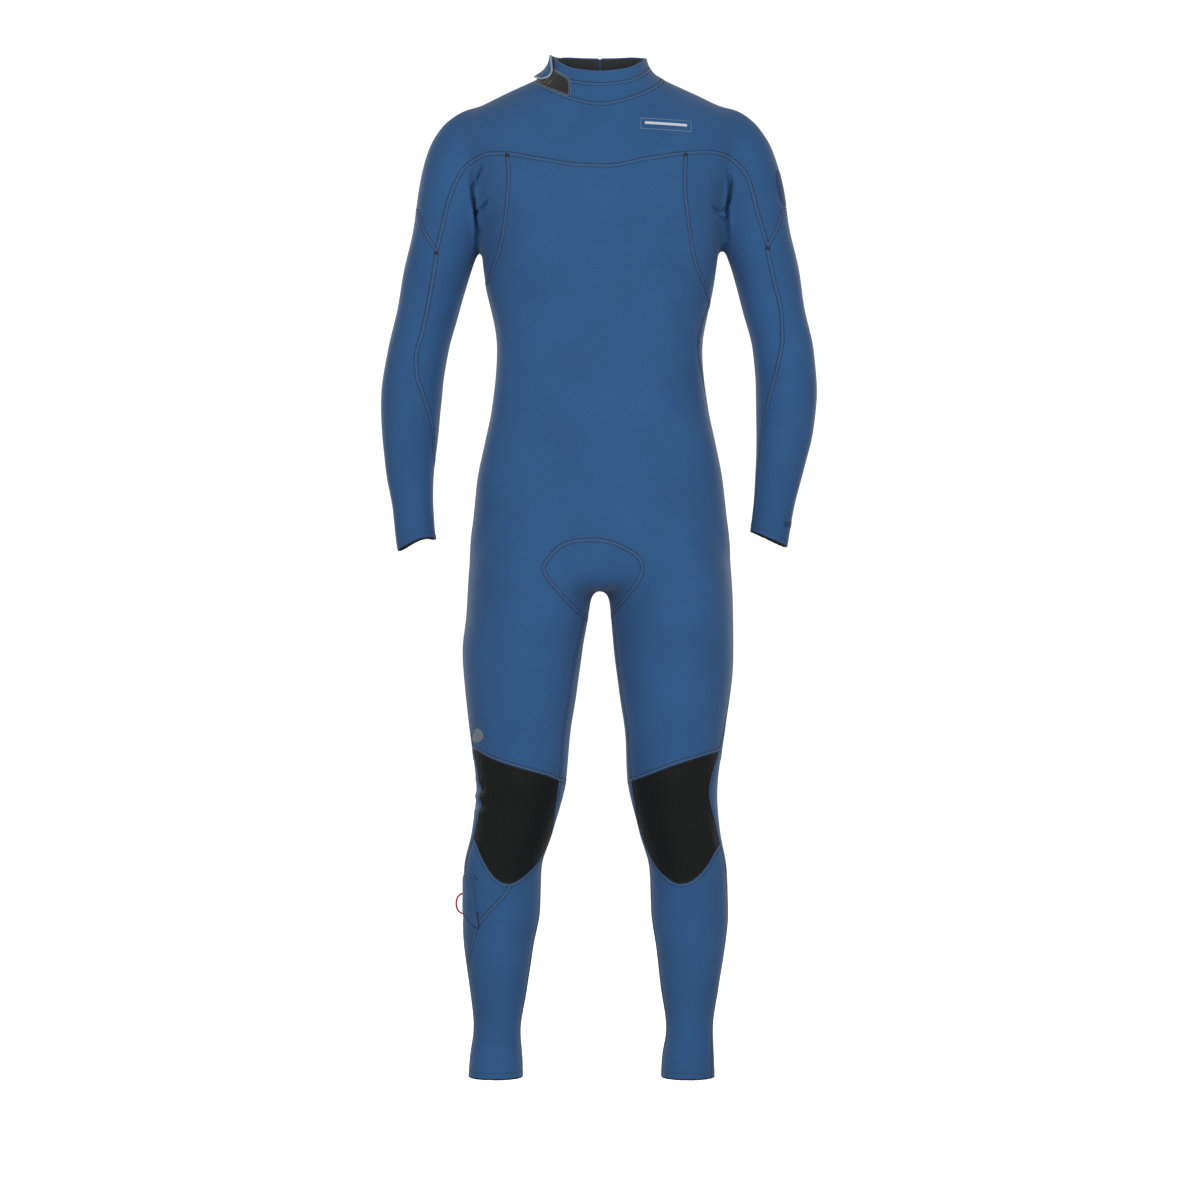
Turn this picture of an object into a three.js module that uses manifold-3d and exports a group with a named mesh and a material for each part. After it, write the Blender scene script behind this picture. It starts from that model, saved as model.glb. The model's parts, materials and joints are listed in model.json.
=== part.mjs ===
// A full-length back-zip wetsuit in the shape it takes on a standing wearer, as an assembly of cut
// neoprene panels, a two-band collar with a hook-and-loop tab, a moulded-tooth zip that runs down the
// spine, knee pads, hems and a key pocket with its loop on the outside of the right calf.
// Millimetres. +X is the wearer's left, +Y is behind the wearer, +Z is up. The origin lies inside the
// suit, midway between the shoulders at the base of the neck, where the wearer or a hanger carries it.

import * as THREE from "three";
import { mergeVertices } from "three/addons/utils/BufferGeometryUtils.js";
import Module from "manifold-3d";

const wasm = await Module();
wasm.setup();

// ---------------------------------------------------------------- driving sizes

const SUIT_LENGTH = 1300; // nape of the collar down to the ankle hems
const SHOULDER_WIDTH = 466; // across both sleeves just below the shoulders
const CHEST_DEPTH = 197; // front to back at the chest
const WALL = 3; // neoprene thickness
const SEAM_GAP = 0.3; // clearance between two panels that meet at a seam
const LAYER_GAP = 0.3; // clearance between a panel and a layer that lies on it
const LINING = 0.9; // thickness of seam tape, labels and pocket lining

const COLLAR_BAND = 15; // height of the collar's upper band
const COLLAR_SLIT = 2; // opening of the collar at the nape
const TAB_WIDTH = 28; // height of the closure tab that crosses the nape
const TAB_THICKNESS = 2.5;
const TAB_ROOT_X = 15; // the tab's stitched edge, left of the zip
const PATCH_THICKNESS = 1.2; // loop patch on the collar
const HOOK_THICKNESS = 1; // hook pad under the tab

const ZIP_TOP_Z = 18; // top of the chain
const ZIP_LENGTH = 396; // chain length along the spine
const ZIP_END_Z = ZIP_TOP_Z - ZIP_LENGTH;
const ZIP_SLOT = 24; // clear width between the back panels
const TAPE_WIDTH = 26; // one side of the zip tape
const TAPE_THICKNESS = 0.8;
const TOOTH_PITCH = 12;
const TOOTH_HEIGHT = 5.4;
const CHAIN_WIDTH = 8.4;
const CHAIN_BASE = 1.2; // thickness of the chain's narrow foot
const CHAIN_HEAD = 1.4; // thickness of the toothed head above the foot
const CHAIN_SINK = 2.7; // underside of the chain below the suit's skin
const SLIDER_LENGTH = 16;
const SLIDER_WIDTH = 14;
const PULLER_LENGTH = 40;
const PULLER_WIDTH = 10.4;
const PULLER_THICKNESS = 1.6;
const SPINE_Y = 82; // the skin is straight along the zip, this far behind the origin
const FLAP_HALF_WIDTH = 44; // water barrier behind the zip
const FLAP_THICKNESS = 2;

const HEM_DEPTH = 12; // inner binding at each wrist and ankle
const HEM_EDGE = 2; // the part of a hem that shows past the panel
const HEM_THICKNESS = 1;

const POCKET_TOP_Z = -985; // hinge line of the key pocket's flap
const POCKET_FLAP = 2; // flap thickness
const POCKET_LINING = 0.9;
const KEY_CORD = 2.4; // diameter of the key loop's cord

const FAR = 500; // cutters reach past the suit on every side

// ---------------------------------------------------------------- body outline

// The outline is drawn for these overall sizes, and stretches with the driving sizes above.
const DRAWN = { length: 1300, width: 466, depth: 197 };
const KX = SHOULDER_WIDTH / DRAWN.width;
const KY = CHEST_DEPTH / DRAWN.depth;
const KZ = SUIT_LENGTH / DRAWN.length;

// Horizontal rings down the trunk: height, half width, front y, back y, squareness (2 is an ellipse).
const TRUNK = [
  [110, 54, -46, 62, 2],
  [50, 60, -54, 70, 2],
  [36, 67, -58, 75, 2],
  [27, 79, -61, 78, 1.9],
  [16, 103, -65, 80, 1.8],
  [-5, 147, -72, 83, 1.9],
  [-20, 172, -78, 86, 2.1],
  [-36, 181, -84, 88, 2.3],
  [-63, 178, -92, 91, 2.5],
  [-110, 165, -100, 94, 2.6],
  [-160, 155, -103, 94, 2.6],
  [-235, 145, -98, 91, 2.4],
  [-318, 130, -91, 85, 2.3],
  [-392, 137, -89, 82, 2.3],
  [-440, 147, -90, 86, 2.3],
  [-480, 155, -92, 98, 2.3],
  [-530, 161, -93, 114, 2.3],
  [-575, 166, -92, 119, 2.3],
  [-600, 166, -88, 117, 2.2],
  [-622, 150, -72, 100, 2.1],
].map(([z, half, front, back, square]) => ({ z, right: 0, left: 0, half, front, back, square }));

// Rings down a limb: height, distance of the centre from the mid-plane on the right and on the left,
// half width, front y, back y.
const limb = ([z, right, left, half, front, back]) => ({ z, right, left, half, front, back, square: 2 });

const ARM = [
  [-10, 158, 160, 12, -8, 12],
  [-20, 158, 160, 28, -20, 27],
  [-36, 162, 163, 40, -32, 39],
  [-63, 169, 171, 47, -42, 49],
  [-110, 180, 183, 49, -49, 57],
  [-165, 191, 195, 46.5, -49, 57],
  [-216, 206, 210, 43, -44, 53],
  [-267, 218, 221, 40, -40, 52],
  [-318, 231, 233, 39, -37, 51],
  [-368, 239, 237, 39, -36, 50],
  [-419, 241, 235, 36.5, -38, 42],
  [-470, 241, 228, 31, -38, 30],
  [-530, 236, 218, 26, -37, 17],
  [-620, 225, 204, 26, -38, 12],
].map(limb);

const LEG = [
  [-490, 80, 80, 62, -60, 85],
  [-560, 84, 84, 78, -84, 108],
  [-600, 88, 88, 79, -90, 112],
  [-648, 91, 91, 78, -90, 100],
  [-698, 98, 93, 76, -88, 86],
  [-749, 100, 95, 71, -85, 76],
  [-800, 101, 95, 64, -78, 66],
  [-863, 100, 92, 57.5, -69, 55],
  [-927, 111, 101, 51.5, -60, 53],
  [-978, 124, 112, 49, -51, 61],
  [-1029, 125, 114, 49, -45, 67],
  [-1080, 129, 115, 43.5, -38, 61],
  [-1130, 129, 114, 36.5, -30, 54],
  [-1181, 131, 114, 30, -24, 50],
  [-1218, 132, 112, 33.5, -27, 48],
  [-1290, 133, 112, 36, -30, 48],
].map(limb);

const SIDES = { trunk: 20, arm: 10, leg: 12 }; // facets round each tube

// ---------------------------------------------------------------- shape helpers

const signedPower = (v, p) => Math.sign(v) * Math.abs(v) ** p;
const smooth = (v, from, to) => THREE.MathUtils.smoothstep(v, Math.min(from, to), Math.max(from, to));

// A point on a ring; angle 0 faces forward and a quarter turn faces the wearer's left.
function ringPoint(ring, side, angle, isTrunk) {
  const power = 2 / ring.square;
  const centreX = side * (side < 0 ? ring.right : ring.left);
  const x = KX * (centreX + ring.half * signedPower(Math.sin(angle), power));
  const middle = (ring.front + ring.back) / 2;
  const depth = (ring.back - ring.front) / 2;
  let y = KY * (middle - depth * signedPower(Math.cos(angle), power));
  const z = KZ * ring.z;
  if (isTrunk && Math.cos(angle) < 0) {
    // Straight along the zip, where the chain and its slider need a true line.
    const flat = THREE.MathUtils.clamp(0.2 * ring.half, 14, 30) * KX;
    const across = 1 - smooth(Math.abs(x), flat, 2.5 * flat);
    const along = smooth(z, ZIP_END_Z - 62, ZIP_END_Z - 22) * (1 - smooth(z, ZIP_TOP_Z + 9, ZIP_TOP_Z + 34));
    y = THREE.MathUtils.lerp(y, KY * SPINE_Y, across * along);
  }
  return new THREE.Vector3(x, y, z);
}

// A manifold solid from any closed three.js geometry.
function solid(geometry) {
  const bare = geometry.index ? geometry.toNonIndexed() : geometry.clone();
  bare.deleteAttribute("normal");
  bare.deleteAttribute("uv");
  const merged = mergeVertices(bare, 1e-4);
  return new wasm.Manifold(
    new wasm.Mesh({
      numProp: 3,
      vertProperties: merged.attributes.position.array,
      triVerts: new Uint32Array(merged.index.array),
    }),
  );
}

// A closed tube through rings, moved out along its own normals by an offset.
function tube(rings, side, sides, offset) {
  const cylinder = new THREE.CylinderGeometry(1, 1, 1, sides, rings.length - 1);
  cylinder.deleteAttribute("normal");
  cylinder.deleteAttribute("uv");
  const skin = mergeVertices(cylinder);
  const place = skin.attributes.position;
  for (let i = 0; i < place.count; i++) {
    const ring = rings[Math.round((0.5 - place.getY(i)) * (rings.length - 1))];
    const angle = Math.atan2(place.getX(i), place.getZ(i));
    const onWall = Math.hypot(place.getX(i), place.getZ(i)) > 0.5;
    const middle = (ring.front + ring.back) / 2;
    const point = onWall
      ? ringPoint(ring, side, angle, rings === TRUNK)
      : ringPoint({ ...ring, half: 0, front: middle, back: middle }, side, 0, false);
    place.setXYZ(i, point.x, point.y, point.z);
  }
  skin.computeVertexNormals();
  const normal = skin.attributes.normal;
  for (let i = 0; i < place.count; i++)
    place.setXYZ(
      i,
      place.getX(i) + offset * normal.getX(i),
      place.getY(i) + offset * normal.getY(i),
      place.getZ(i) + offset * normal.getZ(i),
    );
  return solid(skin);
}

// The whole body, standing off the suit's skin by an offset; layers between two offsets are shells.
const bodies = new Map();
function body(offset) {
  if (!bodies.has(offset)) {
    let whole = tube(TRUNK, 1, SIDES.trunk, offset);
    for (const side of [-1, 1])
      whole = whole.add(tube(ARM, side, SIDES.arm, offset)).add(tube(LEG, side, SIDES.leg, offset));
    bodies.set(offset, whole);
  }
  return bodies.get(offset);
}
const layer = (inner, outer) => body(outer).subtract(body(inner));

// Corners of an outline moved out by a distance.
function grown(outline, by) {
  if (!by) return outline;
  const turn = THREE.ShapeUtils.area(outline.map(([a, b]) => new THREE.Vector2(a, b))) > 0 ? 1 : -1;
  return outline.map(([a, b], i) => {
    const before = outline.at(i - 1);
    const after = outline[(i + 1) % outline.length];
    const into = new THREE.Vector2(a - before[0], b - before[1]).normalize();
    const out = new THREE.Vector2(after[0] - a, after[1] - b).normalize();
    const mitre = into.clone().add(out).normalize();
    const reach = (turn * by) / Math.max(0.35, mitre.dot(into));
    return [a + mitre.y * reach, b - mitre.x * reach];
  });
}

function extrusion(outline, depth) {
  const shape = new THREE.Shape(outline.map(([a, b]) => new THREE.Vector2(a, b)));
  return new THREE.ExtrudeGeometry(shape, { depth, bevelEnabled: false });
}

// A cutter whose outline is drawn in the front view (x, z), reaching from one y to another.
function frontCutter(outline, fromY, toY, grow = 0) {
  const geometry = extrusion(grown(outline, grow), toY - fromY + 2 * grow);
  geometry.rotateX(Math.PI / 2).translate(0, toY + grow, 0);
  return solid(geometry);
}

// A cutter whose outline is drawn in the side view (y, z), reaching from one x to another.
function sideCutter(outline, fromX, toX, grow = 0) {
  const geometry = extrusion(grown(outline, grow), toX - fromX + 2 * grow);
  geometry.applyMatrix4(new THREE.Matrix4().set(0, 0, 1, fromX - grow, 1, 0, 0, 0, 0, 1, 0, 0, 0, 0, 0, 1));
  return solid(geometry);
}

const block = (x0, x1, y0, y1, z0, z1) =>
  frontCutter([[x0, z0], [x1, z0], [x1, z1], [x0, z1]], y0, y1);

// Cuts a piece in two with a seam's clearance. The cutter is made twice, plain and grown.
function split(piece, cutter) {
  return [piece.intersect(cutter(0)), piece.subtract(cutter(SEAM_GAP))];
}

// Outlines on the body stretch with it.
const frontDrawn = (points) => points.map(([x, z]) => [KX * x, KZ * z]);
const sideDrawn = (points) => points.map(([y, z]) => [KY * y, KZ * z]);

// ---------------------------------------------------------------- the parts group

const wetsuit = new THREE.Group();
wetsuit.name = "wetsuit";

const finish = {
  neoprene: new THREE.MeshStandardMaterial({ color: 0x2f5c8c, roughness: 0.85, metalness: 0 }),
  kneeRubber: new THREE.MeshStandardMaterial({ color: 0x17191b, roughness: 0.8, metalness: 0 }),
  blackFabric: new THREE.MeshStandardMaterial({ color: 0x121315, roughness: 0.9, metalness: 0 }),
  hookLoop: new THREE.MeshStandardMaterial({ color: 0x0b0b0c, roughness: 1, metalness: 0 }),
  zipPlastic: new THREE.MeshStandardMaterial({ color: 0x1a1b1e, roughness: 0.45, metalness: 0 }),
  zipMetal: new THREE.MeshStandardMaterial({ color: 0x8d9196, roughness: 0.35, metalness: 0.9 }),
  print: new THREE.MeshStandardMaterial({ color: 0x9fa6a8, roughness: 0.6, metalness: 0 }),
  darkPrint: new THREE.MeshStandardMaterial({ color: 0x1d4468, roughness: 0.6, metalness: 0 }),
  redCord: new THREE.MeshStandardMaterial({ color: 0xb3142c, roughness: 0.7, metalness: 0 }),
};

const volumeOf = (piece) => piece.volume();

// Adds a node from a manifold solid, keeping its main body only.
function addNode(name, piece, material) {
  const main = piece.decompose().reduce((a, b) => (volumeOf(a) > volumeOf(b) ? a : b));
  const mesh = main.getMesh();
  const place = new Float32Array(mesh.numVert * 3);
  for (let i = 0; i < mesh.numVert; i++)
    place.set(mesh.vertProperties.subarray(i * mesh.numProp, i * mesh.numProp + 3), i * 3);
  const geometry = new THREE.BufferGeometry();
  geometry.setAttribute("position", new THREE.BufferAttribute(place, 3));
  geometry.setIndex(new THREE.BufferAttribute(new Uint32Array(mesh.triVerts), 1));
  const made = new THREE.Mesh(geometry, material);
  made.name = name;
  wetsuit.add(made);
}

// ---------------------------------------------------------------- shell and trims

const WIDE = 3 * FAR; // longer than the suit

// Closes a line drawn across the body into an outline that covers all above it or all below it.
const reach = (line, z) => [...line, [line.at(-1)[0], z], [line[0][0], z]];

const COLLAR_TOP = [[-160, 2], [-60, 28], [0, 46], [66, 60], [160, 68]];
const CUFF_RIGHT = [[-300, -590], [-256, -573], [-218, -557.5], [-172, -566]];
const CUFF_LEFT = [[172, -544], [184, -547], [238, -569], [300, -590]];
const ANKLE_Z = -1242;

const aboveCollar = sideCutter(reach(sideDrawn(COLLAR_TOP), FAR), -FAR, FAR);
const belowCuffs = (lift) =>
  [CUFF_RIGHT, CUFF_LEFT]
    .map((line) => frontDrawn(line).map(([x, z]) => [x, z + lift]))
    .map((line) => frontCutter(reach(line, KZ * -700), -FAR, FAR))
    .reduce((a, b) => a.add(b));
const belowAnkles = (lift) => block(-FAR, FAR, -FAR, FAR, -WIDE, KZ * ANKLE_Z + lift);

const openAt = (piece, lift) => piece.subtract(belowCuffs(lift)).subtract(belowAnkles(lift));
const suit = openAt(layer(-WALL, 0).subtract(aboveCollar), HEM_EDGE + SEAM_GAP);

// ---------------------------------------------------------------- collar

const NECK_LINE = [[-400, 27.5], [-80, 27.5], [-60, 13], [-35, -4], [0, -12], [35, -4], [60, 13], [80, 27.5], [400, 27.5]];
const NECK_LEVEL_Z = KZ * 27.5;
const NECK_SIDE_Y = 6; // the neck line is level behind this
const [collar, belowCollar] = split(suit, (grow) =>
  frontCutter(reach(frontDrawn(NECK_LINE), FAR), -FAR, NECK_SIDE_Y, grow).add(
    frontCutter([[-FAR, NECK_LEVEL_Z], [FAR, NECK_LEVEL_Z], [FAR, FAR], [-FAR, FAR]], NECK_SIDE_Y, FAR, grow),
  ),
);
const BAND_SEAM = sideDrawn(COLLAR_TOP).map(([y, z]) => [y, z - COLLAR_BAND]);
const [upperBand, lowerBand] = split(collar, (grow) => sideCutter(reach(BAND_SEAM, FAR), -FAR, FAR, grow));
const slit = block(-COLLAR_SLIT / 2, COLLAR_SLIT / 2, 0, FAR, -FAR, FAR);
addNode("collar_upper_band", upperBand.subtract(slit), finish.neoprene);
addNode("collar_lower_band", lowerBand.subtract(slit), finish.neoprene);

// The closure tab starts left of the zip, crosses the nape and ends over the right of the neck.
const PATCH_LAYER = [LAYER_GAP, LAYER_GAP + PATCH_THICKNESS];
const HOOK_LAYER = [PATCH_LAYER[1] + LAYER_GAP, PATCH_LAYER[1] + LAYER_GAP + HOOK_THICKNESS];
const TAB_LAYER = [HOOK_LAYER[1] + LAYER_GAP, HOOK_LAYER[1] + LAYER_GAP + TAB_THICKNESS];

const PATCH = [[-66, 38], [-39, 18], [-38, -3], [-70, 12], [-80, 17]];
const patchCut = frontCutter(frontDrawn(PATCH), -FAR, 0);
addNode("collar_loop_patch", layer(...PATCH_LAYER).intersect(patchCut), finish.hookLoop);

const TAB_LOW = [[100, 29], [70, 29], [20, 27], [-5, 25], [-30, 20.5]]; // seen from the side
const TAB_END = [[-37, 22], [-34, 29], [-22, 38], [-6, 49]]; // the rounded free end
const tabHigh = TAB_LOW.slice(0, 3).reverse().map(([y, z]) => [y, z + TAB_WIDTH]);
const tabOutline = sideDrawn([...TAB_LOW, ...TAB_END, ...tabHigh]);
const rootX = KX * TAB_ROOT_X;
const ROOT_DEPTH = 7; // width of the stitched root
const tabCut = sideCutter(tabOutline, -FAR, 0).add(
  sideCutter(tabOutline, -1, rootX).intersect(block(-FAR, FAR, 0, FAR, -FAR, FAR)),
);
const rootCut = tabCut.intersect(block(rootX - ROOT_DEPTH, rootX, 0, FAR, -FAR, FAR));
const tab = layer(...TAB_LAYER).intersect(tabCut).add(layer(LAYER_GAP, TAB_LAYER[1]).intersect(rootCut));
addNode("collar_tab", tab, finish.neoprene);

const PAD_BACK_Y = 22; // the hook pad covers the tab's end up to here
const padOutline = grown(tabOutline, -3);
const padCut = sideCutter(padOutline, -FAR, -30).intersect(block(-FAR, FAR, -FAR, KY * PAD_BACK_Y, -FAR, FAR));
addNode("tab_hook_pad", layer(...HOOK_LAYER).intersect(padCut), finish.hookLoop);

// ---------------------------------------------------------------- panels of the upper body

const YOKE_LINE = [
  [-400, -128], [-232, -142], [-224, -165], [-206, -196], [-201, -177], [-189, -133], [-174, -98], [-149, -79],
  [-117, -79], [-81, -84], [-24, -93], [10, -94], [58, -85], [107, -77], [156, -75], [185, -102],
  [199, -150], [211, -190], [224, -165], [232, -142], [400, -128],
];
const SLEEVE_RIGHT = [
  [-206, -196], [-210, -227], [-224, -298], [-232, -329], [-231, -352], [-224, -373], [-211, -423],
  [-208, -535], [-208, -700], [-500, -700], [-500, -50], [-206, -50],
];
const SLEEVE_LEFT = [
  [211, -190], [218, -227], [229, -278], [230, -307], [225, -335], [215, -375], [208, -406],
  [206, -470], [203, -508], [199, -546], [199, -700], [500, -700], [500, -50], [211, -50],
];
const UNDERARM_RIGHT = [
  [-117, -50], [-117, -79], [-116, -122], [-122, -174], [-128, -197], [-147, -234], [-165, -254],
  [-184, -406], [-172, -540], [-172, -700], [-500, -700], [-500, -50],
];
const UNDERARM_LEFT = [
  [107, -50], [107, -136], [117, -201], [136, -250], [152, -282], [168, -406], [172, -540],
  [172, -700], [500, -700], [500, -50],
];

const slot = block(-ZIP_SLOT / 2, ZIP_SLOT / 2, 0, FAR, ZIP_END_Z - 8, FAR);
const through = (outline) => (grow) => frontCutter(frontDrawn(outline), -FAR, FAR, grow);

const [yoke, belowYoke] = split(belowCollar, through(reach(YOKE_LINE, FAR)));
addNode("shoulder_yoke", yoke.subtract(slot), finish.neoprene);

let rest = belowYoke;
for (const [name, outline] of [
  ["outer_sleeve_right", SLEEVE_RIGHT],
  ["outer_sleeve_left", SLEEVE_LEFT],
  ["underarm_panel_right", UNDERARM_RIGHT],
  ["underarm_panel_left", UNDERARM_LEFT],
]) {
  const [panel, remainder] = split(rest, through(outline));
  addNode(name, panel, finish.neoprene);
  rest = remainder;
}

// ---------------------------------------------------------------- panels of the lower body

const GUSSET = [
  [-22, -654], [-43, -634], [-67, -605], [-69, -592], [-46, -564],
  [-10, -560], [19, -565], [50, -591], [50, -608], [19, -648],
];
// Where the front meets the back along the body's sides and the legs, seen from the side, as (y, z).
const OUTER_SEAM_RIGHT = [
  [4, 200], [-6, -200], [-12, -268], [0, -420], [0, -600], [-16, -780], [-30, -855], [-34, -890],
  [-22, -939], [-2, -1006], [5, -1100], [10, -1500],
];
const INNER_SEAM_RIGHT = [
  [0, 200], [-14, -600], [-34, -680], [-43, -750], [-42, -800], [-38, -870], [-28, -905], [-8, -940],
  [0, -1000], [8, -1500],
];
const INNER_SEAM_LEFT = [[0, 200], [-10, -600], [-25, -700], [-30, -870], [-8, -940], [0, -1000], [8, -1500]];
const OUTER_SEAM_LEFT = [
  [4, 200], [-12, -200], [-36, -310], [-12, -390], [0, -450], [0, -600], [-20, -780], [-42, -872],
  [-30, -914], [0, -1016], [6, -1100], [2, -1180], [-6, -1215], [-8, -1500],
];
const PAD_RIGHT = [
  [-185, -820], [-160, -820], [-116, -842], [-62, -857], [-30, -862], [-30, -935], [-62, -938],
  [-88, -980], [-116, -993], [-141, -974], [-160, -935], [-185, -932],
];
const PAD_LEFT = [
  [22, -865], [41, -861], [85, -843], [147, -825], [175, -822], [175, -946], [147, -947],
  [123, -984], [97, -993], [71, -975], [50, -929], [22, -925],
];
const POCKET_PANEL = [
  [-300, -925], [-112, -925], [-112, -992], [-155, -1048], [-169, -1100], [-180, -1132], [-300, -1132],
];
const LOWER_BACK_Z = ZIP_END_Z - 27; // the seam below the zip keeps its distance from it
const SEAT_Z = -604;
// The seam behind each knee climbs outwards to the top corner of the knee pad, seen from the side.
const KNEE_BACK_OUTER = [[-400, -822], [-30, -823], [0, -838], [30, -862], [50, -874], [400, -874]];
const KNEE_BACK_INNER = [[-400, -862], [-38, -862], [50, -874], [400, -874]];
const KNEE_Z = -890;

const aboveHeight = (z) => (grow) => block(-FAR, FAR, -FAR, FAR, z - grow, WIDE);
const rightHalf = (grow) => block(-FAR, -SEAM_GAP / 2 + grow, -FAR, FAR, -WIDE, WIDE);

const [gusset, trunkAndLegs] = split(rest, through(GUSSET));
addNode("crotch_gusset", gusset, finish.neoprene);

const LEG_X = 98; // inside each leg, where its outer seam's cut meets its inner seam's
const inZones = (zones, closed) => (grow) =>
  zones.map(([line, x0, x1]) => sideCutter(closed(sideDrawn(line)), x0, x1, grow)).reduce((a, b) => a.add(b));
const aheadOfSeam = (line) => [...line, [-FAR, KZ * -1500], [-FAR, KZ * 200]];
const sideSeams = [
  [OUTER_SEAM_RIGHT, -FAR, KX * -LEG_X],
  [INNER_SEAM_RIGHT, KX * -LEG_X, 0],
  [INNER_SEAM_LEFT, 0, KX * LEG_X],
  [OUTER_SEAM_LEFT, KX * LEG_X, FAR],
];
const kneeBackSeams = [
  [KNEE_BACK_OUTER, -FAR, KX * -LEG_X],
  [KNEE_BACK_INNER, KX * -LEG_X, KX * LEG_X],
  [KNEE_BACK_OUTER, KX * LEG_X, FAR],
];
let [front, rear] = split(trunkAndLegs, inZones(sideSeams, aheadOfSeam));
for (const [name, outline] of [["knee_pad_right", PAD_RIGHT], ["knee_pad_left", PAD_LEFT]]) {
  const [pad, remainder] = split(front, through(outline));
  addNode(name, pad, finish.kneeRubber);
  front = remainder;
}
const [frontPanel, belowKnees] = split(front, aboveHeight(KZ * KNEE_Z));
addNode("front_body_panel", frontPanel, finish.neoprene);
const [pocketPanel, shins] = split(belowKnees, through(POCKET_PANEL));
addNode("pocket_panel_right", pocketPanel, finish.neoprene);
const [upperBack, lowerBack] = split(rear, aboveHeight(LOWER_BACK_Z));
const [seat, legBacks] = split(lowerBack, aboveHeight(KZ * SEAT_Z));
addNode("seat_panel", seat, finish.neoprene);
const [thighs, calves] = split(legBacks, inZones(kneeBackSeams, (line) => reach(line, FAR)));
for (const [name, pair] of [
  ["shin_panel", shins],
  ["back_panel", upperBack.subtract(slot)],
  ["rear_thigh_panel", thighs],
  ["calf_panel", calves],
]) {
  const [right, left] = split(pair, rightHalf);
  addNode(name + "_right", right, finish.neoprene);
  addNode(name + "_left", left, finish.neoprene);
}

// ---------------------------------------------------------------- hems

// A binding inside each opening, with an edge that shows past the panel.
const bindingLayer = layer(-WALL - LAYER_GAP - HEM_THICKNESS, -WALL - LAYER_GAP);
const edgeLayer = layer(-WALL - LAYER_GAP - HEM_THICKNESS, 0);
const hemZone = (piece, lift) => openAt(piece, 0).intersect(belowCuffs(lift).add(belowAnkles(lift)));
const hems = hemZone(bindingLayer, HEM_DEPTH).add(hemZone(edgeLayer, HEM_EDGE));
const wrists = block(-FAR, FAR, -FAR, FAR, KZ * -700, 0);
for (const [side, half] of [["right", block(-FAR, 0, -FAR, FAR, -WIDE, 0)], ["left", block(0, FAR, -FAR, FAR, -WIDE, 0)]]) {
  addNode("wrist_hem_" + side, hems.intersect(half).intersect(wrists), finish.blackFabric);
  addNode("ankle_hem_" + side, hems.intersect(half).subtract(wrists), finish.blackFabric);
}

// ---------------------------------------------------------------- back zip

const skinY = KY * SPINE_Y;
const chainY = skinY - CHAIN_SINK;
const headY = chainY + CHAIN_BASE;
const chainTopY = headY + CHAIN_HEAD;
const TAPE_OUTER = -WALL - LAYER_GAP;
const tapeLayer = layer(TAPE_OUTER - TAPE_THICKNESS, TAPE_OUTER);
for (const [side, sign] of [["right", -1], ["left", 1]]) {
  const inner = sign * 0.3;
  const outer = sign * TAPE_WIDTH;
  const strip = block(Math.min(inner, outer), Math.max(inner, outer), 0, FAR, ZIP_END_Z - 14, ZIP_TOP_Z + 6);
  addNode("zip_tape_" + side, tapeLayer.intersect(strip), finish.blackFabric);

  // Teeth reach across the middle in turn, from a head that overhangs a narrow foot.
  const rail = sign * (CHAIN_WIDTH / 2);
  const root = sign * 1.5;
  const tip = sign * -1.1;
  const comb = [[rail, ZIP_END_Z], [rail, ZIP_TOP_Z], [root, ZIP_TOP_Z]];
  const first = sign < 0 ? 0 : TOOTH_PITCH / 2;
  const count = Math.floor((ZIP_LENGTH - TOOTH_PITCH) / TOOTH_PITCH);
  for (let i = 0; i < count; i++) {
    const z = ZIP_TOP_Z - first - i * TOOTH_PITCH - 0.4;
    comb.push([root, z], [tip, z], [tip, z - TOOTH_HEIGHT], [root, z - TOOTH_HEIGHT]);
  }
  comb.push([root, ZIP_END_Z]);
  const head = frontCutter(comb, headY, chainTopY);
  const foot = block(Math.min(root, sign * 3.2), Math.max(root, sign * 3.2), chainY, headY + 0.1, ZIP_END_Z, ZIP_TOP_Z);
  addNode("zip_teeth_" + side, head.add(foot), finish.zipPlastic);
}

const STOP_HEIGHT = 2.2;
const halfChain = CHAIN_WIDTH / 2;
const topStop = block(-halfChain, halfChain, chainY, chainTopY, ZIP_TOP_Z + 0.3, ZIP_TOP_Z + 0.3 + STOP_HEIGHT);
addNode("zip_top_stop", topStop, finish.zipPlastic);
const bottomStop = block(-6, 6, chainY, skinY + 1.4, ZIP_END_Z - 0.3 - 2 * STOP_HEIGHT, ZIP_END_Z - 0.3);
addNode("zip_bottom_stop", bottomStop.subtract(body(TAPE_OUTER + LAYER_GAP)), finish.zipPlastic);

// The slider is a channel that grips the head of the chain, with a bridge for the puller.
const sliderTop = ZIP_TOP_Z - 0.6;
const sliderLow = sliderTop - SLIDER_LENGTH;
const plateY = chainTopY + 0.3;
const PLATE = 1.6;
const halfSlider = SLIDER_WIDTH / 2;
const BRIDGE_HEIGHT = 3.2; // clear under the bridge
const BRIDGE_HALF = 1.5;
const bridgeY = plateY + PLATE + BRIDGE_HEIGHT;
let slider = block(-halfSlider, halfSlider, plateY, plateY + PLATE, sliderLow, sliderTop);
for (const sign of [-1, 1]) {
  const lip = [sign * (halfChain - 0.7), sign * halfSlider].sort((a, b) => a - b);
  const wall = [sign * (halfChain + 0.3), sign * halfSlider].sort((a, b) => a - b);
  slider = slider
    .add(block(...lip, chainY + 0.3, headY - 0.3, sliderLow, sliderTop))
    .add(block(...wall, chainY + 0.3, plateY + 0.1, sliderLow, sliderTop));
}
for (const z of [sliderLow + 0.6, sliderTop - 3])
  slider = slider.add(block(-BRIDGE_HALF, BRIDGE_HALF, plateY + PLATE - 0.1, bridgeY + 0.1, z, z + 2));
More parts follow.
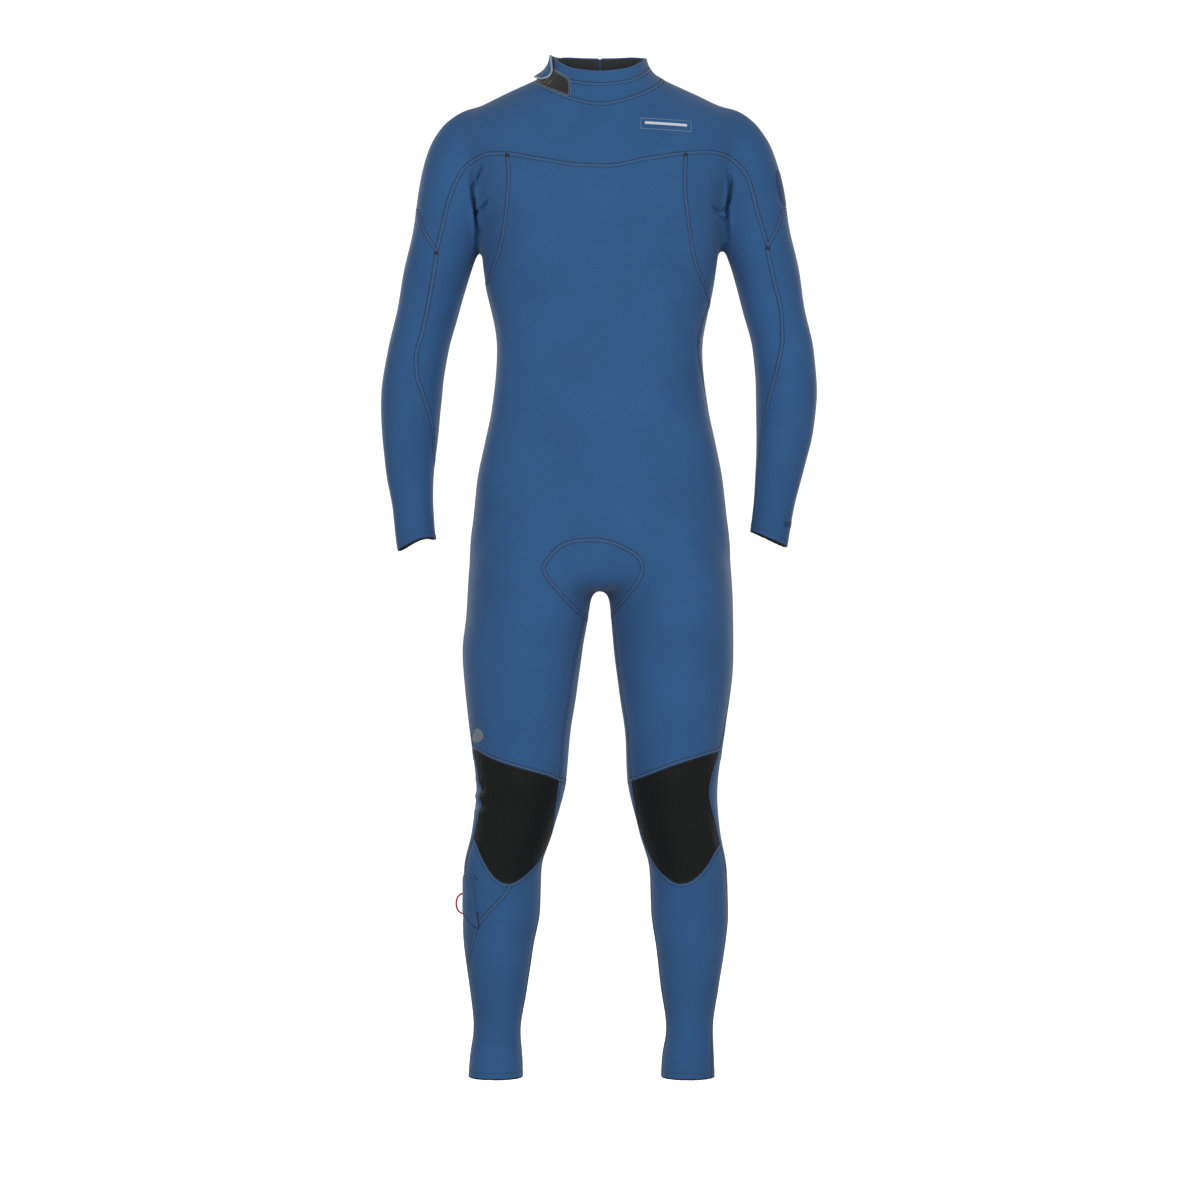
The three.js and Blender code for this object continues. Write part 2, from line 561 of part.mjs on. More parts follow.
slider = slider.add(block(-BRIDGE_HALF, BRIDGE_HALF, bridgeY, bridgeY + 1.6, sliderLow + 0.6, sliderTop - 1));
addNode("zip_slider", slider, finish.zipMetal);

const pinY = plateY + PLATE + BRIDGE_HEIGHT / 2;
const pinZ = sliderLow + 5.2;
const halfPin = PULLER_THICKNESS / 2;
const pullerBox = (x0, x1, z0, z1) => block(x0, x1, pinY - halfPin, pinY + halfPin, z0, z1);
const halfPull = PULLER_WIDTH / 2;
const armX = halfPull - 2;
const tabTopZ = pinZ - 11;
const eyeHalf = 2.4;
const puller = pullerBox(-halfPull, halfPull, pinZ - PULLER_LENGTH, pinZ + halfPin)
  .subtract(pullerBox(-armX, armX, tabTopZ, pinZ - halfPin))
  .subtract(block(-eyeHalf, eyeHalf, 0, FAR, pinZ - PULLER_LENGTH + 3, pinZ - PULLER_LENGTH + 8));
addNode("zip_puller", puller, finish.zipMetal);

// A water barrier lies behind the zip.
const flapOuter = TAPE_OUTER - TAPE_THICKNESS - LAYER_GAP;
const flapStrip = block(-KX * FLAP_HALF_WIDTH, KX * FLAP_HALF_WIDTH, 0, FAR, ZIP_END_Z - 30, ZIP_TOP_Z + 2);
addNode("zip_barrier_flap", layer(flapOuter - FLAP_THICKNESS, flapOuter).intersect(flapStrip), finish.neoprene);

// ---------------------------------------------------------------- key pocket on the right calf

const POCKET_FLAP_LINE = sideDrawn([
  [-34, POCKET_TOP_Z], [14, POCKET_TOP_Z], [14, POCKET_TOP_Z - 45], [-10, POCKET_TOP_Z - 53], [-34, POCKET_TOP_Z - 63],
]);
const pocketSide = [-FAR, KX * -128];
addNode(
  "key_pocket_flap",
  layer(LAYER_GAP, LAYER_GAP + POCKET_FLAP).intersect(sideCutter(POCKET_FLAP_LINE, ...pocketSide)),
  finish.neoprene,
);
addNode(
  "key_pocket_lining",
  layer(-WALL - LAYER_GAP - POCKET_LINING, -WALL - LAYER_GAP).intersect(
    sideCutter(grown(POCKET_FLAP_LINE, 4), ...pocketSide),
  ),
  finish.blackFabric,
);

// The key loop stands out behind the flap; its cord enters the pocket at both ends.
const LOOP_TOP = [-165, 21, -1009];
const LOOP_LOW = [-165, 21, -1035];
const LOOP_STAND = 18; // how far the loop stands out from its two buried ends
const loopPath = new THREE.CatmullRomCurve3(
  [0, 0.12, 0.32, 0.5, 0.68, 0.88, 1].map((t) => {
    const along = (1 - Math.cos(Math.PI * t)) / 2;
    const out = LOOP_STAND * Math.sin(Math.PI * t);
    const [x, y, z] = [0, 1, 2].map((k) => THREE.MathUtils.lerp(LOOP_TOP[k], LOOP_LOW[k], along));
    return new THREE.Vector3(KX * (x - out), KY * y, KZ * z);
  }),
);
const CORD_SIDES = 8;
const cordSection = new THREE.Shape(
  Array.from({ length: CORD_SIDES }, (_, i) => {
    const angle = (2 * Math.PI * i) / CORD_SIDES;
    return new THREE.Vector2(Math.cos(angle), Math.sin(angle)).multiplyScalar(KEY_CORD / 2);
  }),
);
const cord = new THREE.ExtrudeGeometry(cordSection, { steps: 12, extrudePath: loopPath, curveSegments: 1 });
addNode("key_loop", solid(cord).subtract(body(LAYER_GAP)), finish.redCord);

export default wetsuit;
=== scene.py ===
"""Looks of the full wetsuit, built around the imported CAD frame. Metres, +X wearer's left, +Y behind."""

import json
import math

import bmesh
import bpy
import numpy as np
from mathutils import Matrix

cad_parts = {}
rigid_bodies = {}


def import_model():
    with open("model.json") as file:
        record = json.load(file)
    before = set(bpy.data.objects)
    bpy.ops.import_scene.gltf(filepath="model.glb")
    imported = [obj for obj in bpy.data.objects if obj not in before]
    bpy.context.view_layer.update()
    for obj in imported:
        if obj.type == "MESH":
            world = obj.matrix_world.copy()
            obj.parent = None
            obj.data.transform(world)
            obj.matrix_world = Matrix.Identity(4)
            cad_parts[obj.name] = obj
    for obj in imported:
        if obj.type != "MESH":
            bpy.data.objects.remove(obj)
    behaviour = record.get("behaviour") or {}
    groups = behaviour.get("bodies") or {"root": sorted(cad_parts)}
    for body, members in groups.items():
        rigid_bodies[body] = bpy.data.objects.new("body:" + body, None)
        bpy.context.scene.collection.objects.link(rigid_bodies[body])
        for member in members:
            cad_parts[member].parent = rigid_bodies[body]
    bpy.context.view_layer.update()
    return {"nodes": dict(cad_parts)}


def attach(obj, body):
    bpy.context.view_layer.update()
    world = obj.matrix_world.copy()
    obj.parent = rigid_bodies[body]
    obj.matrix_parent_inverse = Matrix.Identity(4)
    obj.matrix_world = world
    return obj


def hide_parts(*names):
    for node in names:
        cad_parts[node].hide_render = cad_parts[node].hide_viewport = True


for leftover in list(bpy.data.objects):
    bpy.data.objects.remove(leftover)
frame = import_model()

MM = 0.001
scene = bpy.context.scene
collection = scene.collection

# ---------------------------------------------------------------- camera

PICTURE_WIDTH = 1.524  # metres across the picture at the suit
CAMERA_FAR, CAMERA_Z = 5.0, -0.635
SENSOR = 36.0
camera_data = bpy.data.cameras.new("camera")
camera_data.sensor_width = SENSOR
camera_data.lens = SENSOR * CAMERA_FAR / PICTURE_WIDTH
camera = bpy.data.objects.new("camera", camera_data)
camera.location = (0, -CAMERA_FAR, CAMERA_Z)
camera.rotation_euler = (math.radians(90), 0, 0)
collection.objects.link(camera)
scene.camera = camera

# ---------------------------------------------------------------- the key loop, the one cord

LOOP_X, LOOP_Y = -0.1725, 0.021
LOOP_TOP_Z, LOOP_LOW_Z = -1.009, -1.035
LOOP_STAND = 0.0108
CORD_DIAMETER = 0.0024
LOOP_STEPS = 24


def curve_object(name, points, radius, sides=4):
    data = bpy.data.curves.new(name, "CURVE")
    data.dimensions = "3D"
    data.bevel_depth = 1  # each point's own radius sets the thickness
    data.bevel_resolution = sides
    data.use_fill_caps = True
    spline = data.splines.new("POLY")
    spline.points.add(len(points) - 1)
    for slot, point in zip(spline.points, points):
        slot.co = (*point, 1)
        slot.radius = radius
    made = bpy.data.objects.new(name, data)
    collection.objects.link(made)
    return made


loop_points = []
for i in range(LOOP_STEPS + 1):
    t = i / LOOP_STEPS
    along = (1 - math.cos(math.pi * t)) / 2
    out = LOOP_STAND * math.sin(math.pi * t) ** 0.8
    loop_points.append((LOOP_X - out, LOOP_Y, LOOP_TOP_Z + (LOOP_LOW_Z - LOOP_TOP_Z) * along))
key_loop = curve_object("vis_key_loop", loop_points, CORD_DIAMETER / 2)

# ---------------------------------------------------------------- body outline (millimetres)

# Rings down the trunk: height, half width, front y, back y, squareness.
TRUNK = np.array([
    [110, 54, -46, 62, 2], [50, 60, -54, 70, 2], [36, 67, -58, 75, 2], [27, 79, -61, 78, 1.9],
    [16, 103, -65, 80, 1.8], [-5, 147, -72, 83, 1.9], [-20, 172, -78, 86, 2.1], [-36, 181, -84, 88, 2.3],
    [-63, 178, -92, 91, 2.5], [-110, 165, -100, 94, 2.6], [-160, 155, -103, 94, 2.6],
    [-235, 145, -98, 91, 2.4],
    [-318, 130, -91, 85, 2.3], [-392, 137, -89, 82, 2.3], [-440, 147, -90, 86, 2.3],
    [-480, 155, -92, 98, 2.3],
    [-530, 161, -93, 114, 2.3], [-575, 166, -92, 119, 2.3], [-600, 166, -88, 117, 2.2],
    [-622, 150, -72, 100, 2.1],
], float)
# Rings down a limb: height, centre on the right, centre on the left, half width, front y, back y.
ARM = np.array([
    [-10, 158, 160, 12, -8, 12], [-20, 158, 160, 28, -20, 27], [-36, 162, 163, 40, -32, 39],
    [-63, 169, 171, 47, -42, 49],
    [-110, 180, 183, 49, -49, 57], [-165, 191, 195, 46.5, -49, 57], [-216, 206, 210, 43, -44, 53],
    [-267, 218, 221, 40, -40, 52], [-318, 231, 233, 39, -37, 51], [-368, 239, 237, 39, -36, 50],
    [-419, 241, 235, 36.5, -38, 42], [-470, 241, 228, 31, -38, 30], [-530, 236, 218, 26, -37, 17],
    [-620, 225, 204, 26, -38, 12],
], float)
LEG = np.array([
    [-490, 80, 80, 62, -60, 85], [-560, 84, 84, 78, -84, 108], [-600, 88, 88, 79, -90, 112],
    [-648, 91, 91, 78, -90, 100],
    [-698, 98, 93, 76, -88, 86], [-749, 100, 95, 71, -85, 76], [-800, 101, 95, 64, -78, 66],
    [-863, 100, 92, 57.5, -69, 55],
    [-927, 111, 101, 51.5, -60, 53], [-978, 124, 112, 49, -51, 61], [-1029, 125, 114, 49, -45, 67],
    [-1080, 129, 115, 43.5, -38, 61], [-1130, 129, 114, 36.5, -30, 54], [-1181, 131, 114, 30, -24, 50],
    [-1218, 132, 112, 33.5, -27, 48], [-1290, 133, 112, 36, -30, 48],
], float)
SPINE_Y, ZIP_TOP_Z, ZIP_END_Z = 82.0, 18.0, -378.0
WALL = 3.0


def smoothstep(v, a, b):
    t = np.clip((v - a) / (b - a), 0, 1)
    return t * t * (3 - 2 * t)


def cubic(x, y, v):
    """The cubic through points (x, y) that doesn't overshoot, at v; level beyond both ends."""
    x, y = np.asarray(x, float), np.asarray(y, float)
    h = np.diff(x)
    column = (-1,) + (1,) * (y.ndim - 1)
    slope = np.diff(y, axis=0) / h.reshape(column)
    m = np.zeros_like(y)
    m[0], m[-1] = slope[0], slope[-1]
    before, after = slope[:-1], slope[1:]
    w1, w2 = (2 * h[1:] + h[:-1]).reshape(column), (h[1:] + 2 * h[:-1]).reshape(column)
    with np.errstate(divide="ignore", invalid="ignore"):
        m[1:-1] = np.where(before * after > 0, (w1 + w2) / (w1 / before + w2 / after), 0)
    v = np.clip(v, x[0], x[-1])
    k = np.clip(np.searchsorted(x, v, "right") - 1, 0, len(h) - 1)
    t, hk = ((v - x[k]) / h[k]).reshape(column), h[k].reshape(column)
    return (
        (2 * t**3 - 3 * t**2 + 1) * y[k] + (t**3 - 2 * t**2 + t) * hk * m[k]
        + (-2 * t**3 + 3 * t**2) * y[k + 1] + (t**3 - t**2) * hk * m[k + 1]
    )


def dense(table, step=6.0):
    """Rings every few millimetres down the table."""
    heights, rows = table[::-1, 0], table[::-1, 1:]
    zs = np.linspace(heights[0], heights[-1], int(abs(heights[-1] - heights[0]) / step) + 2)
    return zs[::-1], cubic(heights, rows, zs)[::-1]


def tube(table, side, sides):
    zs, rows = dense(table)
    trunk = table is TRUNK
    if trunk:
        half, front, back, square = rows.T
        centre = np.zeros_like(half)
    else:
        centre = side * (rows[:, 0] if side < 0 else rows[:, 1])
        half, front, back = rows[:, 2], rows[:, 3], rows[:, 4]
        square = np.full_like(half, 2.0)
    angle = np.linspace(0, 2 * math.pi, sides, endpoint=False)
    s, c = np.sin(angle)[None], np.cos(angle)[None]
    p = (2 / square)[:, None]
    x = centre[:, None] + half[:, None] * np.sign(s) * np.abs(s) ** p
    y = ((front + back) / 2)[:, None] - ((back - front) / 2)[:, None] * np.sign(c) * np.abs(c) ** p
    z = np.repeat(zs[:, None], sides, 1)
    if trunk:
        flat = np.clip(0.2 * half, 14, 30)[:, None]
        across = 1 - smoothstep(np.abs(x), flat, 2.5 * flat)
        # Along the zip the spine is straight and flat, and it eases back into the curve at both ends.
        along = smoothstep(z, ZIP_END_Z - 62, ZIP_END_Z - 22)
        along *= 1 - smoothstep(z, ZIP_TOP_Z + 9, ZIP_TOP_Z + 34)
        y = np.where(c < 0, y + (SPINE_Y - y) * across * along, y)
    verts = np.stack([x, y, z], -1).reshape(-1, 3)
    n = len(zs)
    faces = []
    for i in range(n - 1):
        for j in range(sides):
            k = (j + 1) % sides
            faces.append((i * sides + j, (i + 1) * sides + j, (i + 1) * sides + k, i * sides + k))
    faces.append(tuple(range(sides)))
    faces.append(tuple(reversed(range((n - 1) * sides, n * sides))))
    return verts, faces


def mesh_object(name, verts, faces):
    data = bpy.data.meshes.new(name)
    data.from_pydata([tuple(v) for v in verts], [], [tuple(int(i) for i in f) for f in faces])
    data.validate()
    data.polygons.foreach_set("use_smooth", [True] * len(data.polygons))
    made = bpy.data.objects.new(name, data)
    collection.objects.link(made)
    return made


VOXEL = 0.0034  # metres
verts, faces = [], []
for table, side, sides in [(TRUNK, 1, 144), (ARM, -1, 72), (ARM, 1, 72), (LEG, -1, 84), (LEG, 1, 84)]:
    v, f = tube(table, side, sides)
    base = sum(len(a) for a in verts)
    verts.append(v)
    faces += [tuple(i + base for i in q) for q in f]
raw = mesh_object("raw_body", np.concatenate(verts) * MM, faces)
remesh = raw.modifiers.new("skin", "REMESH")
remesh.mode = "VOXEL"
remesh.voxel_size = VOXEL
remesh.adaptivity = 0
remesh.use_smooth_shade = True
evaluated = raw.evaluated_get(bpy.context.evaluated_depsgraph_get())
skin = bpy.data.meshes.new_from_object(evaluated)
bpy.data.objects.remove(raw)

V = np.zeros(len(skin.vertices) * 3)
skin.vertices.foreach_get("co", V)
V = V.reshape(-1, 3) / MM
skin.calc_loop_triangles()
T = np.zeros(len(skin.loop_triangles) * 3, np.int64)
skin.loop_triangles.foreach_get("vertices", T)
T = T.reshape(-1, 3)
bpy.data.meshes.remove(skin)

# ---------------------------------------------------------------- mesh arithmetic on the skin


def sides_of(tris):
    """The three sides of each triangle, lower vertex first."""
    return np.sort(tris[:, [[0, 1], [1, 2], [2, 0]]], axis=2)


def edges_of(tris):
    pairs = sides_of(tris).reshape(-1, 2)
    width = tris.max() + 1
    keys = np.unique(pairs[:, 0] * width + pairs[:, 1])
    return np.stack([keys // width, keys % width], 1)


def normals_of(points, tris):
    a, b, c = points[tris[:, 0]], points[tris[:, 1]], points[tris[:, 2]]
    face = np.cross(b - a, c - a)
    total = np.zeros_like(points)
    for corner in range(3):
        for axis in range(3):
            total[:, axis] += np.bincount(tris[:, corner], face[:, axis], len(points))
    return total / np.maximum(np.linalg.norm(total, axis=1, keepdims=True), 1e-9)


def unit(v):
    return v / np.maximum(np.linalg.norm(v, axis=-1, keepdims=True), 1e-9)


links = edges_of(T)
degree = np.bincount(links.ravel(), minlength=len(V))[:, None]


def relax(amount):
    """Each vertex moves that share of the way to the middle of its neighbours."""
    global V
    total = np.zeros_like(V)
    for axis in range(3):
        total[:, axis] = np.bincount(links[:, 0], V[links[:, 1], axis], len(V)) + np.bincount(
            links[:, 1], V[links[:, 0], axis], len(V)
        )
    V = V + amount * (total / degree - V)


for _ in range(8):
    relax(0.5)
    relax(-0.52)


def near_point(place, radius):
    return np.exp(-(((V - np.array(place, float)) / np.array(radius, float)) ** 2).sum(1))[:, None]


# The tubes meet in creases that neoprene bridges: tops of the shoulders, armpits behind, groin, seat.
bridged = sum(
    near_point(place, radius)
    for place, radius in [
        ((-150, 0, -25), (45, 70, 40)), ((150, 0, -25), (45, 70, 40)),
        ((-150, 50, -110), (30, 45, 90)), ((150, 50, -110), (30, 45, 90)),
        ((0, -60, -610), (90, 70, 45)), ((0, 60, -610), (100, 90, 50)),
        ((-90, 0, -570), (110, 140, 60)), ((90, 0, -570), (110, 140, 60)),
        ((-150, -70, -100), (26, 30, 30)), ((150, -70, -100), (26, 30, 30)),
    ]
)
bridged = np.clip(bridged, 0, 1) * 0.6
for _ in range(30):
    relax(bridged)
for _ in range(4):
    relax(0.35)
N = normals_of(V, T)


# ---------------------------------------------------------------- body forms under the skin


def swell(place, radius, height):
    global V
    V = V + N * near_point(place, radius) * height


for sign in (-1, 1):
    swell((sign * 58, -100, -128), (46, 60, 40), 3.0)  # chest
    swell((sign * 75, 90, -120), (40, 50, 55), 4.0)  # shoulder blade
    swell((sign * 78, 115, -548), (52, 60, 52), 5.0)  # seat
    swell((sign * 200, 0, -85), (32, 60, 42), 2.5)  # top of the arm
    swell((sign * 112, 62, -1010), (36, 50, 62), 2.5)  # calf
swell((0, -100, -150), (9, 60, 70), -1.6)
swell((0, 90, -250), (8, 40, 120), -0.8)
swell((0, 118, -560), (11, 60, 45), -7.0)
swell((-101, -72, -862), (30, 30, 30), 3.5)
swell((94, -72, -862), (30, 30, 30), 3.5)
swell((0, -92, -395), (60, 40, 70), 1.6)
N = normals_of(V, T)


SNAP = 0.35  # a vertex this close to a seam line counts as on it


def split_where(points, normals, tris, field, chosen):
    """Divides the chosen triangles where the field changes sign.

    Returns points, normals, triangles, the triangle each one came from and the field."""
    field = np.where(np.abs(field) < SNAP, 0.0, field)
    count = len(points)
    pairs = sides_of(tris)
    keys = pairs[:, :, 0] * count + pairs[:, :, 1]
    crossing = field[pairs[:, :, 0]] * field[pairs[:, :, 1]] < 0
    cut_keys = np.unique(keys[chosen][crossing[chosen]])
    if not len(cut_keys):
        return points, normals, tris, np.arange(len(tris)), field
    a, b = cut_keys // count, cut_keys % count
    t = (field[a] / (field[a] - field[b]))[:, None]
    points = np.concatenate([points, points[a] + t * (points[b] - points[a])])
    normals = np.concatenate([normals, unit(normals[a] + t * (normals[b] - normals[a]))])
    field = np.concatenate([field, np.zeros(len(a))])
    place = np.clip(np.searchsorted(cut_keys, keys), 0, len(cut_keys) - 1)
    hit = cut_keys[place] == keys
    middle = np.where(hit, count + place, -1)
    hits = hit.sum(1)
    parts, parents = [tris[hits == 0]], [np.flatnonzero(hits == 0)]

    def add(rows, *corners):
        parts.append(np.stack(corners, 1))
        parents.append(rows)

    for k in range(3):
        i, j, l = k, (k + 1) % 3, (k + 2) % 3
        rows = np.flatnonzero((hits == 1) & hit[:, k])
        v, m = tris[rows], middle[rows]
        add(rows, v[:, i], m[:, k], v[:, l])
        add(rows, m[:, k], v[:, j], v[:, l])
        rows = np.flatnonzero((hits == 2) & ~hit[:, k])
        v, m = tris[rows], middle[rows]
        add(rows, m[:, j], v[:, l], m[:, l])
        add(rows, v[:, i], v[:, j], m[:, j])
        add(rows, v[:, i], m[:, j], m[:, l])
    rows = np.flatnonzero(hits == 3)
    v, m = tris[rows], middle[rows]
    for k in range(3):
        add(rows, v[:, k], m[:, k], m[:, (k + 2) % 3])
    add(rows, m[:, 0], m[:, 1], m[:, 2])
    return points, normals, np.concatenate(parts), np.concatenate(parents), field


SHARP = 3.0  # a fold narrower than this is sharp
FOLD_ROWS = (0.35, 1.0, 1.7, 2.6)  # rows of vertices beside a sharp fold, in widths of the fold


def along_line(line, q):
    """Distance of each point from a line of points, and how far along it the nearest place is, 0 to 1."""
    best, share = np.full(len(q), 1e9), np.zeros(len(q))
    for i in range(len(line) - 1):
        step = line[i + 1] - line[i]
        t = np.clip(((q - line[i]) @ step) / (step @ step), 0, 1)
        gap = np.linalg.norm(q - line[i] - t[:, None] * step, axis=1)
        closer = gap < best
        best, share = np.where(closer, gap, best), np.where(closer, (i + t) / (len(line) - 1), share)
    return best, share


def crease(points, depth, width, facing=-1):
    """A fold drawn in the front view as (x, z), pressed in along the skin with a soft ridge beside it."""
    global V, N, T
    line = np.array(points, float)
    low, high = line.min(0) - 4 * width, line.max(0) + 4 * width
    if width < SHARP:
        # A sharp fold needs rows of vertices that follow it.
        for row in FOLD_ROWS:
            middle = V[T].mean(1)[:, [0, 2]]
            chosen = np.all((middle > low - 4) & (middle < high + 4), 1) & (N[T].mean(1)[:, 1] * facing > 0)
            field = along_line(line, V[:, [0, 2]])[0] - row * width
            V, N, T, _, _ = split_where(V, N, T, field, chosen)
    flat = V[:, [0, 2]]
    chosen = np.all((flat > low) & (flat < high), 1) & (N[:, 1] * facing > 0.02)
    best, share = along_line(line, flat[chosen])
    taper = np.sin(math.pi * np.clip(share, 0.03, 0.97)) ** 0.7
    groove = -depth * np.exp(-((best / width) ** 2))
    ridge = 0.4 * depth * np.exp(-(((best - 2.1 * width) / width) ** 2))
    V[chosen] += N[chosen] * ((groove + ridge) * taper)[:, None]


for points, depth, width in [
    ([(-163, -97), (-161, -112), (-160, -126), (-157, -140), (-156, -152), (-154, -170), (-155, -193)],
    9.5, 2.5),
    ([(-148, -91), (-154, -102), (-158, -113)], 5.5, 2.2),
    ([(-155, -147), (-148, -143), (-141, -132)], 6.0, 2.4),
    ([(-153, -174), (-144, -167), (-128, -152)], 3.0, 5.5),
    ([(162, -96), (164, -112), (163, -126), (160, -140), (160, -156), (161, -186)], 8.5, 2.5),
    ([(142, -140), (150, -147), (158, -144)], 6.0, 2.4),
    ([(143, -149), (153, -152), (159, -158)], 4.5, 2.4),
    ([(-163, -872), (-152, -873), (-143, -871)], 2.4, 4.5),
    ([(-163, -893), (-152, -894), (-141, -892)], 2.4, 4.5),
    ([(-12, -600), (-11, -616), (-10, -632)], 1.5, 6.0),
    ([(-96, -606), (-62, -628), (-40, -652)], 0.9, 9.0),
    ([(92, -606), (58, -628), (36, -652)], 0.9, 9.0),
    ([(-152, -1196), (-130, -1201), (-112, -1199)], 0.9, 6.0),
    ([(92, -1196), (112, -1201), (132, -1199)], 0.9, 6.0),
    ([(-262, -372), (-246, -366), (-228, -368)], 0.8, 7.0),
    ([(228, -366), (244, -364), (262, -370)], 0.8, 7.0),
]:
    crease(points, depth, width)
for points, depth, width in [
    ([(-140, -120), (-150, -140), (-156, -165)], 2.0, 6.0), ([(140, -120), (150, -140), (156, -165)],
    2.0, 6.0),
    ([(-140, -872), (-100, -868), (-62, -874)], 1.6, 7.0), ([(-138, -892), (-100, -890), (-64, -892)],
    1.1, 7.0),
    ([(134, -872), (94, -868), (56, -874)], 1.6, 7.0), ([(132, -892), (94, -890), (58, -892)], 1.1, 7.0),
    ([(-120, -640), (-85, -652), (-50, -648)], 1.4, 9.0), ([(120, -640), (85, -652), (50, -648)], 1.4, 9.0),
    ([(-60, -440), (0, -432), (60, -440)], 1.0, 10.0),
]:
    crease(points, depth, width, facing=1)

# Slack that never lies quite flat.
x, y, z = V.T
ripple = (
    np.sin(z / 17 + 1.3 * np.sin(x / 31) + 0.7) * np.sin(x / 23 + z / 61 + y / 40)
    + 0.7 * np.sin(z / 29 - x / 19 + 2.1) * np.sin(y / 27 + z / 47)
)
V = V + N * (0.22 * ripple)[:, None]
N = normals_of(V, T)

BASE = (V, N, T)

# ---------------------------------------------------------------- cutting the skin into panels

PANELS = ["skin", "waste"]
panel = np.zeros(len(T), int)


def number(name):
    if name not in PANELS:
        PANELS.append(name)
    return PANELS.index(name)


def carve(source, name, field, where=None):
    """Cuts a panel along field(x, y, z) = 0. The side where it is positive takes the name."""
    global V, N, T, panel
    chosen = panel == number(source)
    if where is not None:
        chosen &= where(*V[T].mean(1).T)
    marked = np.where(chosen, -1 - panel, panel)
    V, N, T, parent, f = split_where(V, N, T, field(*V.T), chosen)
    marked = marked[parent]
    was = marked < 0
    panel = np.where(was, -1 - marked, marked)
    panel[was & (f[T].sum(1) > 0)] = number(name)


def rename(source, *names):
    """A panel takes its name, or two names, right then left, by the side it lies on."""
    mine = panel == number(source)
    if len(names) == 1:
        panel[mine] = number(names[0])
        return
    x = V[T].mean(1)[:, 0]
    panel[mine & (x < 0)] = number(names[0])
    panel[mine & (x >= 0)] = number(names[1])


def line_at(points, v):
    """The height of a smooth line through (position, height) points."""
    points = sorted(points)
    return cubic([p[0] for p in points], [p[1] for p in points], v)


def smooth_loop(points, steps=8):
    """A closed smooth outline through the points."""
    p = np.array(points, float)
    a, b, c, d = np.roll(p, 1, 0), p, np.roll(p, -1, 0), np.roll(p, -2, 0)
    t = (np.arange(steps) / steps)[None, :, None]
    a, b, c, d = (v[:, None] for v in (a, b, c, d))
    out = 0.5 * (2 * b + (c - a) * t + (2 * a - 5 * b + 4 * c - d) * t**2 + (3 * b - a - 3 * c + d) * t**3)
    return out.reshape(-1, 2)


def inside(outline, u, v, reach=12.0):
    """Distance inside a closed outline, negative outside it, no further than reach."""
    result = np.full(len(u), -reach)
    low, high = outline.min(0) - reach, outline.max(0) + reach
    close = np.flatnonzero((u > low[0]) & (u < high[0]) & (v > low[1]) & (v < high[1]))
    q = np.stack([u[close], v[close]], 1)
    best = np.full(len(q), 1e9)
    within = np.zeros(len(q), bool)
    for a, b in zip(outline, np.roll(outline, -1, 0)):
        step = b - a
        t = np.clip(((q - a) @ step) / (step @ step), 0, 1)
        best = np.minimum(best, np.linalg.norm(q - a - t[:, None] * step, axis=1))
        with np.errstate(divide="ignore", invalid="ignore"):
            crosses = ((a[1] > q[:, 1]) != (b[1] > q[:, 1])) & (
                q[:, 0] < step[0] * (q[:, 1] - a[1]) / step[1] + a[0]
            )
        within ^= crosses
    result[close] = np.where(within, np.minimum(best, reach), -np.minimum(best, reach))
    return result


NECK_Y = 8.0


def azimuth(x, y):
    """Angle round the neck, 0 in front and 180 at the nape, the same on both sides."""
    return np.abs(np.degrees(np.arctan2(x, NECK_Y - y)))


NECK_SEAM = [(-22, -8), (0, -14.4), (22, -8), (38, 1), (51, 10.5), (71, 23), (90, 30), (130, 30), (180, 28)]
BAND_SEAM = [(-24, 15), (0, 11.4), (24, 15), (43.6, 24), (66.8, 35.5), (90, 40), (140, 42), (180, 44)]
COLLAR_TOP = [(-29, 32.8), (0, 28.3), (29, 32.8), (54, 42.6), (79, 50.7), (110, 56), (140, 60), (180, 61)]

YOKE = [
    [(-400, -128), (-232, -142), (-224, -165), (-206, -196)],
    [(-206, -196), (-201, -177), (-191, -135), (-180, -107), (-168, -89), (-155, -81), (-139, -76),
    (-117, -77),
     (-81, -84), (-24, -93),
     (10, -94), (58, -85), (107, -77), (139, -74), (156, -76), (170, -84), (185, -102), (199, -150),
     (211, -190)],
    [(211, -190), (224, -165), (232, -142), (400, -128)],
]
SLEEVE_RIGHT = [
    (0, -206), (-196, -206), (-227, -210), (-298, -224), (-329, -232), (-352, -231), (-373, -224),
    (-423, -211),
    (-451, -210), (-535, -208), (-700, -208),
]
SLEEVE_LEFT = [
    (0, 211), (-190, 211), (-227, 218), (-278, 229), (-307, 230), (-335, 225), (-375, 215), (-406, 208),
    (-437, 202), (-470, 199.5), (-510, 196), (-546, 192), (-700, 190),
]
UNDERARM_RIGHT = [
    (0, -117), (-79, -116), (-103, -114), (-135, -116), (-174, -121), (-210, -131), (-232, -142),
    (-254, -165),
    (-406, -184), (-540, -172), (-700, -172),
]
UNDERARM_LEFT = [
    (0, 107), (-79, 107), (-113, 106), (-158, 110), (-210, 119), (-250, 136), (-268, 141), (-282, 152),
    (-406, 168), (-540, 172), (-700, 172),
]
GUSSET = [
    (-22, -654), (-43, -634), (-67, -605), (-69, -590), (-46, -566), (-10, -560), (19, -565), (46, -580),
    (53, -595), (46, -614), (19, -648), (0, -668),
]
OUTER_SEAM_RIGHT = [
    (200, 4), (-200, -6), (-268, -12), (-420, 0), (-600, 0), (-780, -16), (-855, -30), (-890, -34),
    (-939, -22),
    (-1006, -2), (-1100, 5), (-1500, 10),
]
INNER_SEAM_RIGHT = [
    (200, 0), (-600, -14), (-680, -34), (-750, -43), (-800, -42), (-870, -38), (-905, -28), (-940, -8),
    (-1000, 0), (-1500, 8),
]
